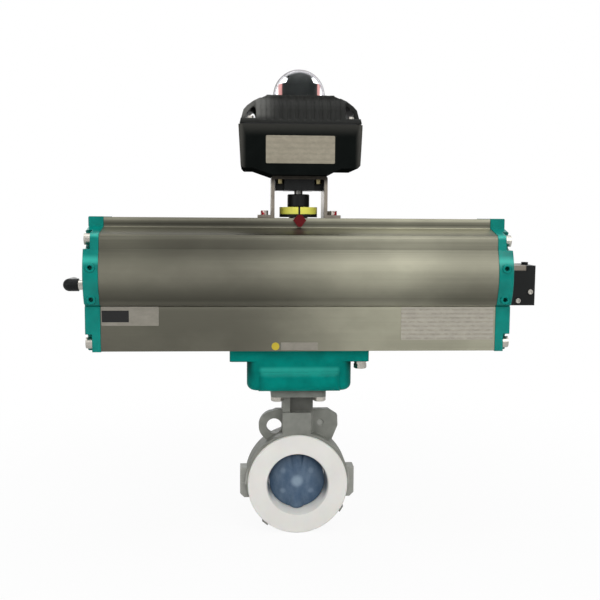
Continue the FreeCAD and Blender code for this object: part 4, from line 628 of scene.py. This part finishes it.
class FINISH_OT_body(bpy.types.Operator):
    """Split body: grey paint over a sand-cast skin, worn a little along its edges, with painted light on its
    ears and dimple and painted shade in the neck's recess and on the flange.
    """

    bl_idname = "valve.finish_body"
    bl_label = "Finish body"

    def execute(self, context):
        colours = self.colours = context.scene.valve_colours
        made = mottled("body_paint", colours.casting, colours.casting_low, 0.0014, 0.00012, (0.42, 0.6),
                       edge=0.0012, wear=colours.casting_worn, shine=0.2, stain=self.painted_light)
        dress(made, "body_upper", "body_lower")
        return {"FINISHED"}

    def painted_light(self, made, body):
        """Painted light on the ears and the dimple, and painted shade on the set-back front of the neck,
        right of its rib and between the boss and the flange, and on the flange under the adapter."""
        x, y, z = made.along()
        # Painted light on the ears' ends and the dimple.
        ears = made.span(made.off(x), *EAR_END, high=0.3)
        dimple = made.fall(made.away(x, z, DIMPLE_CENTRE), DIMPLE_EDGE, 0.45)
        body = made.blend(made.most(ears, dimple), body, self.colours.casting_painted_light)
        # Painted shade in the neck's recess and on the flange under the adapter.
        recess = made.times(made.span(y, *RECESS_FACE), made.span(z, *RECESS_FOOT),
                            made.span(made.off(x), *RECESS_SIDE, 0.55, 0.0))
        joint = made.rise(z, FLANGE_TOP, 0.6)
        return made.blend(made.most(recess, joint), body, self.colours.painted_shade)


# Caps: each shoulder's foot, crest and top, and how far from the middle its painted highlight reaches.
UPPER_SHOULDER = (0.2925, 0.2965, 0.3)
LOWER_SHOULDER = (0.262, 0.269, 0.2765)
SHOULDER_REACH = (0.025, 0.055)

# Adapter: foot, crest and top of the painted highlight along the pads, the pads' face and end, the corners
# with their painted shade, and the plate.
PAD_HIGHLIGHT = (0.1345, 0.1435, 0.148)
PAD_FACE = (0.047, 0.0485)
PAD_END = (0.042, 0.0475)
CORNER_SHADE_SIDE = (0.05, 0.058)
CORNER_SHADE_HEIGHT = (0.125, 0.153)
PLATE_FOOT = (0.1525, 0.1532)


class FINISH_OT_teal(bpy.types.Operator):
    """End caps and adapter: teal gloss paint with a faint orange peel, painted highlights on the caps'
    shoulders and the pads' top, and painted shade in the corners under the plate.
    """

    bl_idname = "valve.finish_teal"
    bl_label = "Finish caps and adapter"

    def execute(self, context):
        colours = context.scene.actuator_colours
        self.pale = colours.teal_highlight
        made = mottled("teal_paint", colours.teal, colours.teal_low, 0.0022, 0.00006, (0.3, 0.42),
                       coat=0.25, edge=0.0016, shine=0.05, stain=self.cap_shoulders)
        dress(made, *both("end_cap"))
        made = mottled("teal_satin", colours.teal, colours.teal_low, 0.0022, 0.00005, (0.34, 0.44),
                       coat=0.04, edge=0.0035, shine=0.02, stain=self.adapter_pad)
        dress(made, "adapter_housing")
        return {"FINISHED"}

    def cap_shoulders(self, made, body):
        """Painted highlight along the two shoulders of each cap."""
        _, y, z = made.along()
        crests = made.most(made.hump(z, *UPPER_SHOULDER), made.hump(z, *LOWER_SHOULDER))
        rim = made.rise(made.off(y), SHOULDER_REACH, 0.5)
        return made.blend(made.times(crests, rim), body, self.pale)

    def adapter_pad(self, made, body):
        """Painted highlight along the top of the two pads, and painted shade in the corners under the plate.
        """
        x, y, z = made.along()
        out = made.off(x)
        # Painted highlight along the top of the pads.
        band = made.times(made.hump(z, *PAD_HIGHLIGHT), made.span(made.off(y), *PAD_FACE),
                          made.fall(out, PAD_END, 0.45))
        body = made.blend(band, body, self.pale)
        # Painted shade, nearly black, in the corners under the plate.
        corner = made.times(made.rise(out, CORNER_SHADE_SIDE), made.span(z, *CORNER_SHADE_HEIGHT, 0.2, 0.8, True),
                            made.span(z, *PLATE_FOOT, 1.0, 0.0))
        return made.blend(corner, body, shaded(self.pale, 0.02))


# Painted reflections up the barrel's height, as shares of its tone: flat foot, groove, flank, shoulder and
# rail.
BARREL_PAINTED_BANDS = (
    (0.0, 0.78), (0.33, 0.85), (0.34, 0.66), (0.362, 0.58), (0.392, 0.4), (0.425, 0.5), (0.46, 0.59),
    (0.495, 0.71), (0.53, 0.81), (0.57, 0.83), (0.61, 0.7), (0.66, 0.52), (0.72, 0.33), (0.757, 0.27),
    (0.775, 0.33), (0.83, 0.38), (0.845, 0.5), (0.86, 0.34), (0.88, 0.47), (0.9, 1.0), (0.925, 0.93),
    (0.935, 0.4), (0.95, 0.21), (0.97, 0.44), (0.985, 1.0), (1.0, 1.0),
)


# Barrel along X: the left end with painted light, where the left half's painted shade turns to the paler
# right, and where painted shade comes in on the right end.
LIT_END = (-0.215, -0.12)
SHADE_CHANGE = (-0.08, 0.11)
RIGHT_END_SHADE = (0.1, 0.2)

# Barrel up its height, as shares: the foot with painted shade, where the left end has painted light, and the
# flank.
SHADED_FOOT = (0.3, 0.34)
LIT_HEIGHT = (0.45, 0.6)
FLANK_FOOT = (0.34, 0.36)
FLANK_TOP = (0.5, 0.86)

# How far under the rail's flat top the painted shade on that top starts and is full.
RAIL_TOP_SHADE = (0.0004, 0.0002)


class FINISH_OT_barrel(bpy.types.Operator):
    """Barrel: matt anodised extrusion, drawn lines along X, and painted reflections: bands up its height,
    darker at the left, and painted shade on the right end's flank and the rail's top.
    """

    bl_idname = "valve.finish_barrel"
    bl_label = "Finish barrel"

    def execute(self, context):
        colours = context.scene.actuator_colours
        made = Finish("anodised_barrel", colours.barrel, 1.0, 0.4)
        low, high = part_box("actuator_body")
        x, _, z = made.along()
        height = made.span(z, low.z, high.z)
        # Painted light and shade in bands up the height.
        bands = made.ramp(height, BARREL_PAINTED_BANDS)
        drawn = made.noise(0.0012, (260.0, 1.0, 1.0), detail=2.0)
        wide = made.noise(0.006, (60.0, 1.0, 1.0), detail=2.0)
        right = made.blend(bands, BLACK, colours.barrel)
        right = made.blend(made.span(wide, 0.35, 0.7, 0.0, 0.16), right, colours.barrel_mottle_and_shade)
        right = made.blend(made.span(drawn, 0.35, 0.75, 0.0, 0.12), right, shaded(colours.barrel, 1.15))
        # Painted shade: the left half darker, its foot darker still.
        left = made.blend(bands, BLACK, colours.barrel_mottle_and_shade)
        left = made.blend(made.span(height, *SHADED_FOOT, 0.2, 0.0), left, BLACK)
        lit = made.times(made.fall(x, LIT_END, 0.3), made.span(height, *LIT_HEIGHT))
        left = made.blend(lit, left, right)
        body = made.blend(made.rise(x, SHADE_CHANGE), left, right)
        # Painted shade on the right end's flank.
        right_shade = made.times(made.rise(x, RIGHT_END_SHADE, 0.38), made.span(height, *FLANK_FOOT),
                          made.span(height, *FLANK_TOP, 1.0, 0.3))
        body = made.blend(right_shade, body, BLACK)
        # Painted shade on the rail's flat top.
        top = made.span(z, *[high.z - depth for depth in RAIL_TOP_SHADE], high=0.5)
        body = made.blend(top, body, BLACK)
        cloud = made.fall(made.noise(0.045, (1.5, 1.0, 1.0), detail=4.0, harsh=0.55), (0.38, 0.66), 0.14)
        made.colour(made.blend(cloud, body, shaded(colours.barrel_mottle_and_shade, 0.1)))
        made.grained(drawn, (0.36, 0.46), 0.00001, 0.0006)
        dress(made, "actuator_body")
        return {"FINISHED"}


# Red assembly mark on the bracket's front screws: how far in from their outer ends it starts and is full.
SCREW_MARK = (0.006, 0.003)


class FINISH_OT_screws(bpy.types.Operator):
    """Screws and bolts in stainless steel, the spacer's in yellow plating."""

    bl_idname = "valve.finish_screws"
    bl_label = "Finish screws"

    def execute(self, context):
        colours = context.scene.actuator_colours
        made = machined("stainless_screws", colours.stainless)
        dress(made, "body_screws", "flange_bolts", "adapter_bolts", "cover_screws", "pilot_screws",
              *both("cap_screws"))
        made = Finish("marked_screws", colours.stainless, 0.9, 0.3)
        x, y, _ = made.along()
        low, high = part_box("bracket_screws")
        mark = made.times(made.span(made.off(x), *[high.x - depth for depth in SCREW_MARK]),
                          made.span(y, *[low.y + depth for depth in SCREW_MARK]),
                          made.span(made.noise(0.003), 0.4, 0.5))
        made.colour(made.blend(mark, colours.stainless, context.scene.box_colours.red))
        made.relief(made.noise(0.0006, detail=2.0), 0.00002, 0.0004)
        dress(made, "bracket_screws")
        dress(machined("plated_screws", colours.brass), "spacer_screws")
        return {"FINISHED"}


class FINISH_OT_drive(bpy.types.Operator):
    """Moving metal inside: pinion, sleeve, pistons, springs and their bearings."""

    bl_idname = "valve.finish_drive"
    bl_label = "Finish drive"

    def execute(self, context):
        colours = context.scene.actuator_colours
        dress(machined("machined_steel", colours.steel, (0.3, 0.42)), "pinion_shaft", "coupling_sleeve",
              "switch_shaft")
        dress(mottled("cast_pistons", colours.cast_piston, shaded(colours.cast_piston, 0.8), 0.0012, 0.00006,
                      (0.4, 0.55), metallic=0.8), *both("piston"))
        dress(mottled("coated_springs", colours.spring, shaded(colours.spring, 0.7), 0.001, 0.00003,
                      (0.3, 0.45), coat=0.3, edge=0.0004), *both("return_spring"))
        dress(moulded("bearing_rings", context.scene.valve_colours.liner, (0.35, 0.45)),
              "pinion_bearing_lower", "pinion_bearing_upper", *both("rack_pad"))
        return {"FINISHED"}


class FINISH_OT_indicator(bpy.types.Operator):
    """Position puck with its coloured inserts, the pointer, and the coupling above."""

    bl_idname = "valve.finish_indicator"
    bl_label = "Finish position indicator"

    def execute(self, context):
        colours = context.scene.box_colours
        black = moulded("black_moulding", context.scene.actuator_colours.plastic, (0.32, 0.45), shine=0.15)
        dress(black, "position_indicator", "shaft_coupling", "spacer_block", "elbow_body", "elbow_collet",
              "pilot_valve", "override_button", "micro_switches")
        dress(moulded("yellow_inserts", colours.yellow, (0.3, 0.4)), "indicator_inserts")
        dress(moulded("red_pointer", shaded(colours.red, 0.4), (0.3, 0.4), shine=0.15), "pointer")
        return {"FINISHED"}


# Bracket: how far under its top the shade of the box starts and is full.
BOX_SHADE = (0.012, 0.002)


class FINISH_OT_bracket(bpy.types.Operator):
    """Bent sheet bracket, the plate on the pilot valve and the elbow's stub."""

    bl_idname = "valve.finish_bracket"
    bl_label = "Finish bracket"

    def execute(self, context):
        colours = context.scene.actuator_colours
        self.sheet = colours.bracket
        drawn_sheet = (self.sheet, (0.34, 0.46), (1.0, 1.0, 40.0), 0.0006)
        dress(machined("bracket_sheet", *drawn_sheet), "pilot_plate")
        dress(machined("bracket_sheet_shaded", *drawn_sheet, self.under_box), "bracket")
        dress(machined("nickel_stub", colours.stainless, (0.16, 0.26)), "elbow_stub")
        return {"FINISHED"}

    def under_box(self, made, body):
        """Painted shade on the sheet right under the box."""
        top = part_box("bracket")[1].z
        _, _, z = made.along()
        up = made.rise(z, [top - depth for depth in BOX_SHADE], 0.85)
        return made.blend(up, body, shaded(self.sheet, 0.08))


# Switch box: where its painted highlights and the base's paler band under the joint start and are full, out
# from the middle and up.
SIDE_HIGHLIGHT = (0.0605, 0.0695)
FRONT_HIGHLIGHT = (0.034, 0.0455)
JOINT_PALE_BAND = (0.406, 0.42)
SHOULDER_LIGHT_X = (-0.054, -0.022)
SHOULDER_LIGHT_Z = (0.424, 0.432)


class FINISH_OT_switch_box(bpy.types.Operator):
    """Switch box: black powder coat with painted highlights on the base's upright edges, a greyer cover with
    painted light on its left shoulder, plugs, and the switches inside.
    """

    bl_idname = "valve.finish_switch_box"
    bl_label = "Finish switch box"

    def execute(self, context):
        colours = self.colours = context.scene.box_colours
        base = mottled("box_base_coat", colours.base, shaded(colours.base, 0.75), 0.0009, 0.00005,
                       (0.55, 0.66), edge=0.001, wear=colours.base_worn, shine=0.0, stain=self.painted_edge_highlights)
        dress(base, "switch_box_base", "cable_plugs")
        cover = mottled("box_cover_coat", colours.cover, shaded(colours.cover, 0.75), 0.0009, 0.00005,
                        (0.36, 0.48), edge=0.0028, wear=colours.cover_worn, shine=0.1,
                        stain=self.painted_shoulder_light)
        dress(cover, "switch_box_cover")
        dress(moulded("switch_cams", colours.cam, (0.35, 0.45)), "switch_cams")
        dress(moulded("terminal_moulding", colours.terminal, (0.4, 0.5)), "terminal_block")
        return {"FINISHED"}

    def painted_edge_highlights(self, made, body):
        """Painted highlight along the four upright edges of the base, and a paler band under its joint."""
        x, y, z = made.along()
        edges = made.times(made.rise(made.off(x), SIDE_HIGHLIGHT, 0.42), made.rise(made.off(y), FRONT_HIGHLIGHT))
        joint = made.rise(z, JOINT_PALE_BAND, 0.16)
        return made.blend(made.most(edges, joint), body, self.colours.base_highlight)

    def painted_shoulder_light(self, made, body):
        """Painted light on the shoulder of the cover at the left."""
        x, _, z = made.along()
        highlight = made.times(made.fall(x, SHOULDER_LIGHT_X, 0.5), made.rise(z, SHOULDER_LIGHT_Z))
        return made.blend(highlight, body, self.colours.cover_highlight)


# Beacon: how edge-on the dome's wall is where its rim starts and is full, and where the vanes leave the drum.
DOME_RIM = (0.35, 0.9)
VANE_ROOT = (0.0195, 0.021)


class FINISH_OT_beacon(bpy.types.Operator):
    """Clear dome over a black drum with red side windows."""

    bl_idname = "valve.finish_beacon"
    bl_label = "Finish beacon"

    def execute(self, context):
        colours = context.scene.box_colours
        made = Finish("clear_dome", colours.dome, 0.0, 0.03, ior=1.03)
        made.set("Transmission Weight", 1.0)
        rim = made.rise(made.add("ShaderNodeLayerWeight").outputs["Facing"], DOME_RIM, 0.9)
        clear = made.add("ShaderNodeBsdfTransparent")
        made.link(made.blend(rim, colours.dome, colours.dome_rim), clear.inputs["Color"])
        shadow = made.add("ShaderNodeLightPath").outputs["Is Shadow Ray"]
        made.surface(made.mix(made.most(shadow, rim), made.shader.outputs[0], clear.outputs[0]))
        dress(made, "beacon_dome")
        dress(Finish("drum_mask", colours.base, 0.0, 0.38, shine=0.13), "beacon_drum")
        made = Finish("drum_windows", colours.window, 0.0, 0.36, shine=0.2)
        x, _, _ = made.along()
        made.colour(made.blend(made.rise(made.off(x), VANE_ROOT), colours.base, colours.window))
        dress(made, "beacon_vanes")
        return {"FINISHED"}


# Right part of the barrel's front along X, over which a plate's foil turns from dim to lit and ruled.
LIT_FOIL = (0.03, 0.11)


class LABEL_OT_plates(bpy.types.Operator):
    """Bare label plates: two on the barrel, a strip and a dot at its foot, and one on the switch box."""

    bl_idname = "valve.add_plates"
    bl_label = "Add label plates"

    def execute(self, context):
        sizes = context.scene.label_sizes
        colours = context.scene.box_colours
        thick, corner, face = sizes.thickness, sizes.corner, sizes.barrel_face
        box_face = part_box("switch_box_base")[0].y
        nearly_round = sizes.dot[2] / 2 - 1e-5
        foil = self.barrel_foil(colours.foil, sizes.ruling)
        box_foil = self.box_foil(colours.box_foil, sizes.box_ruling)
        ink = moulded("ink_block", colours.ink, (0.4, 0.5))
        yellow = moulded("dot_yellow", colours.dot, (0.35, 0.45))
        front_plate("plate_left", sizes.left_plate, face, thick, corner, foil)
        front_plate("plate_left_block", sizes.ink_block, face - thick, thick / 4, corner / 4, ink)
        front_plate("plate_right", sizes.right_plate, face, thick, corner, foil)
        front_plate("plate_strip", sizes.strip, face, thick, corner / 2, foil)
        front_plate("plate_dot", sizes.dot, face, thick, nearly_round, yellow)
        front_plate("plate_box", sizes.box_plate, box_face, thick * 1.5, corner, box_foil)
        return {"FINISHED"}

    def barrel_foil(self, colour, pitch):
        """Foil that is dim at the left of the barrel, and lit and ruled at the right."""
        made = Finish("printed_foil", colour, 0.0, 0.38, shine=0.3)
        worn = made.noise(0.006, (2.0, 1.0, 1.0), detail=5.0, harsh=0.7)
        ruled = self.ruled(made, worn, colour, pitch, 0.8, 0.55, (0.32, 0.45))
        dim = made.blend(made.span(worn, 0.35, 0.75), shaded(colour, 0.66), shaded(colour, 0.5))
        made.colour(made.blend(made.span(made.along()[0], *LIT_FOIL), dim, ruled))
        return made

    def box_foil(self, colour, pitch):
        """Brushed foil, ruled all over."""
        made = Finish("brushed_foil", colour, 0.2, 0.4, shine=0.3)
        worn = made.noise(0.005, (1.6, 1.0, 1.0), detail=5.0, harsh=0.7)
        made.colour(self.ruled(made, worn, colour, pitch, 0.74, 0.7, (0.34, 0.5)))
        return made

    def ruled(self, made, worn, colour, pitch, drift, ink, roughness):
        """Worn foil with a faint ruling, whose share peaks once per pitch of height and is broken by noise.
        Drift and ink are the shades of the worn spots and of the ruling."""
        made.roughness(made.span(worn, 0.3, 0.7, *roughness))
        wave = made.off(made.maths("SINE", made.times(made.along()[2], pi / pitch)))
        broken = made.span(made.noise(0.007, (0.7, 1.0, 0.35)), 0.35, 0.7, 0.1, 0.7)
        share = made.times(made.rise(wave, (0.55, 0.98)), broken)
        return made.blend(share, made.uneven(worn, colour, drift), shaded(colour, ink))


class THREAD_OT_ports(bpy.types.Operator):
    """Threads in the two air ports on the back of the barrel."""

    bl_idname = "valve.add_port_threads"
    bl_label = "Add port threads"

    def execute(self, context):
        sizes = context.scene.port_sizes
        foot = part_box("actuator_body")[0].z
        thread = machined("cut_thread", context.scene.actuator_colours.stainless, (0.3, 0.4))
        for side, x in zip(SIDES, (-sizes.spacing / 2, sizes.spacing / 2)):
            port_thread(f"port_thread_{side}", x, foot + sizes.height, sizes, thread)
        return {"FINISHED"}


# Lamps: name, place, width and height. All look at the middle of the object.
LAMPS = (
    ("key", (0.7, -2.1, 1.7), 2.2, 2.0),
    ("fill", (-2.0, -2.0, 0.7), 1.8, 1.8),
    ("top", (0.0, -0.3, 2.4), 1.8, 1.8),
    ("back", (-0.5, 2.4, 1.2), 1.8, 1.8),
)
LAMP_TARGET = (0.0, 0.0, 0.22)

# Room as reflections show it: brightness from the ground up, and the span along X over which it rises.
ROOM_BANDS = ((0.0, 0.6), (0.45, 0.75), (0.58, 0.95), (0.76, 1.0), (1.0, 0.85))
ROOM_DRIFT = (-0.3, 0.25)

# Floor: its grey, the share of plain white that reflections see, and where its shadowed middle ends.
FLOOR_GREY = (0.82, 0.82, 0.82)
FLOOR_IN_GLOSS = 0.2
FLOOR_MIDDLE = (0.2, 0.9)


class STAGE_OT_studio(bpy.types.Operator):
    """Pale floor, four soft lamps, an even room light and the camera."""

    bl_idname = "valve.set_studio"
    bl_label = "Set up studio"

    def execute(self, context):
        studio = context.scene.studio
        self.camera(context, studio)
        self.lamps(studio)
        self.room(context, studio)
        self.floor(studio)
        return {"FINISHED"}

    def camera(self, context, studio):
        """Right, up and back axes from the turn, the tilt and the roll, written straight into the matrix."""
        ahead = Vector((sin(studio.turn), cos(studio.turn), 0.0))
        right = Vector((cos(studio.turn), -sin(studio.turn), 0.0))
        look = ahead * cos(studio.tilt) - Vector((0, 0, sin(studio.tilt)))
        up = right.cross(look)
        side = right * cos(studio.roll) + up * sin(studio.roll)
        rise = up * cos(studio.roll) - right * sin(studio.roll)
        data = bpy.data.cameras.new("camera")
        data.sensor_width = 36.0
        data.lens = studio.lens
        data.clip_start, data.clip_end = 0.01, 200.0
        camera = add_object("camera", data)
        camera.matrix_world = Matrix((side, rise, -look)).transposed().to_4x4()
        camera.location = studio.eye
        context.scene.camera = camera

    def lamps(self, studio):
        """Oblong soft lamps, each turned to the middle of the object."""
        for name, eye, width, height in LAMPS:
            data = bpy.data.lights.new(f"{name}_lamp", "AREA")
            data.shape = "RECTANGLE"
            data.size, data.size_y = width, height
            data.energy = getattr(studio, name)
            lamp = add_object(data.name, data)
            lamp.location = eye
            lamp.rotation_mode = "QUATERNION"
            lamp.rotation_quaternion = (Vector(LAMP_TARGET) - Vector(eye)).to_track_quat("-Z", "Y")

    def room(self, context, studio):
        """White for the camera and through glass, a soft vertical drift in reflections, and even light."""
        world = bpy.data.worlds.new("room")
        world.use_nodes = True
        world.node_tree.nodes.clear()
        made = Nodes(world.node_tree)
        x, _, z = made.split(made.add("ShaderNodeTexCoord").outputs["Generated"])
        bands = made.ramp(made.span(z, -1.0, 1.0), ROOM_BANDS)
        drift = made.span(x, *ROOM_DRIFT, 0.7, 1.0, True)
        mirror, even, white = [made.fill(made.add("ShaderNodeBackground"), colour, strength)
                               for colour, strength in ((bands, drift), (WHITE, studio.sky), (WHITE, 1.0))]
        path = made.add("ShaderNodeLightPath").outputs
        lit = made.mix(path["Is Glossy Ray"], even, mirror)
        seen = made.most(path["Is Camera Ray"], path["Is Transmission Ray"])
        out = made.add("ShaderNodeOutputWorld")
        made.link(made.mix(seen, lit, white), out.inputs["Surface"])
        context.scene.world = world
        context.scene.view_settings.view_transform = "Standard"

    def floor(self, studio):
        """A square sheet under the object, nearly plain white to the camera, with the object's shadow."""
        reach = studio.floor_reach
        level = CAD_BOX[0].z - studio.floor_gap
        line = np.linspace(-reach, reach, 9)
        u, v = np.meshgrid(line, line, indexing="xy")
        points = np.stack([u.ravel(), v.ravel(), np.full(u.size, level)], axis=-1)
        index = np.arange(u.size).reshape(u.shape)
        corners = (index[:-1, :-1], index[:-1, 1:], index[1:, 1:], index[1:, :-1])
        quads = np.stack(corners, axis=-1).reshape(-1, 4)
        floor = add_mesh("floor", points, quads.tolist(), self.floor_paper())

    def floor_paper(self):
        """Matt grey for light, and glowing white to the camera and through glass, less so near the object."""
        made = Finish("floor_paper", FLOOR_GREY, 0.0, 0.9)
        glow = made.add("ShaderNodeEmission")
        glow.inputs["Strength"].default_value = 1.0
        path = made.add("ShaderNodeLightPath").outputs
        seen = made.most(path["Is Camera Ray"], path["Is Transmission Ray"],
                         made.times(path["Is Glossy Ray"], FLOOR_IN_GLOSS))
        x, y, _ = made.along()
        share = made.span(made.away(x, y), *FLOOR_MIDDLE, 0.93, 1.0, True)
        made.surface(made.mix(made.times(seen, share), made.shader.outputs[0], glow.outputs[0]))
        return made


STEPS = (
    FINISH_OT_liner,
    FINISH_OT_disc,
    FINISH_OT_body,
    FINISH_OT_teal,
    FINISH_OT_barrel,
    FINISH_OT_screws,
    FINISH_OT_drive,
    FINISH_OT_indicator,
    FINISH_OT_bracket,
    FINISH_OT_switch_box,
    FINISH_OT_beacon,
    LABEL_OT_plates,
    THREAD_OT_ports,
    STAGE_OT_studio,
)


class VALVE_PT_looks(bpy.types.Panel):
    """Sizes, colours and steps of the valve's looks."""

    bl_idname = "VALVE_PT_looks"
    bl_label = "Butterfly valve"
    bl_space_type = "VIEW_3D"
    bl_region_type = "UI"
    bl_category = "Valve"

    def draw(self, context):
        for name, group in GROUPS.items():
            box = self.layout.box()
            box.label(text=name.replace("_", " ").capitalize())
            for key in group.__annotations__:
                box.prop(getattr(context.scene, name), key)
        for step in STEPS:
            self.layout.operator(step.bl_idname)


def register():
    for name, group in GROUPS.items():
        bpy.utils.register_class(group)
        setattr(bpy.types.Scene, name, PointerProperty(type=group))
    for step in (*STEPS, VALVE_PT_looks):
        bpy.utils.register_class(step)


def unregister():
    for step in (VALVE_PT_looks, *reversed(STEPS)):
        bpy.utils.unregister_class(step)
    for name, group in reversed(GROUPS.items()):
        delattr(bpy.types.Scene, name)
        bpy.utils.unregister_class(group)


def main():
    register()
    bpy.ops.valve.finish_liner()
    bpy.ops.valve.finish_disc()
    bpy.ops.valve.finish_body()
    bpy.ops.valve.finish_teal()
    bpy.ops.valve.finish_barrel()
    bpy.ops.valve.finish_screws()
    bpy.ops.valve.finish_drive()
    bpy.ops.valve.finish_indicator()
    bpy.ops.valve.finish_bracket()
    bpy.ops.valve.finish_switch_box()
    bpy.ops.valve.finish_beacon()
    bpy.ops.valve.add_plates()
    bpy.ops.valve.add_port_threads()
    bpy.ops.valve.set_studio()


if __name__ == "__main__":
    main()
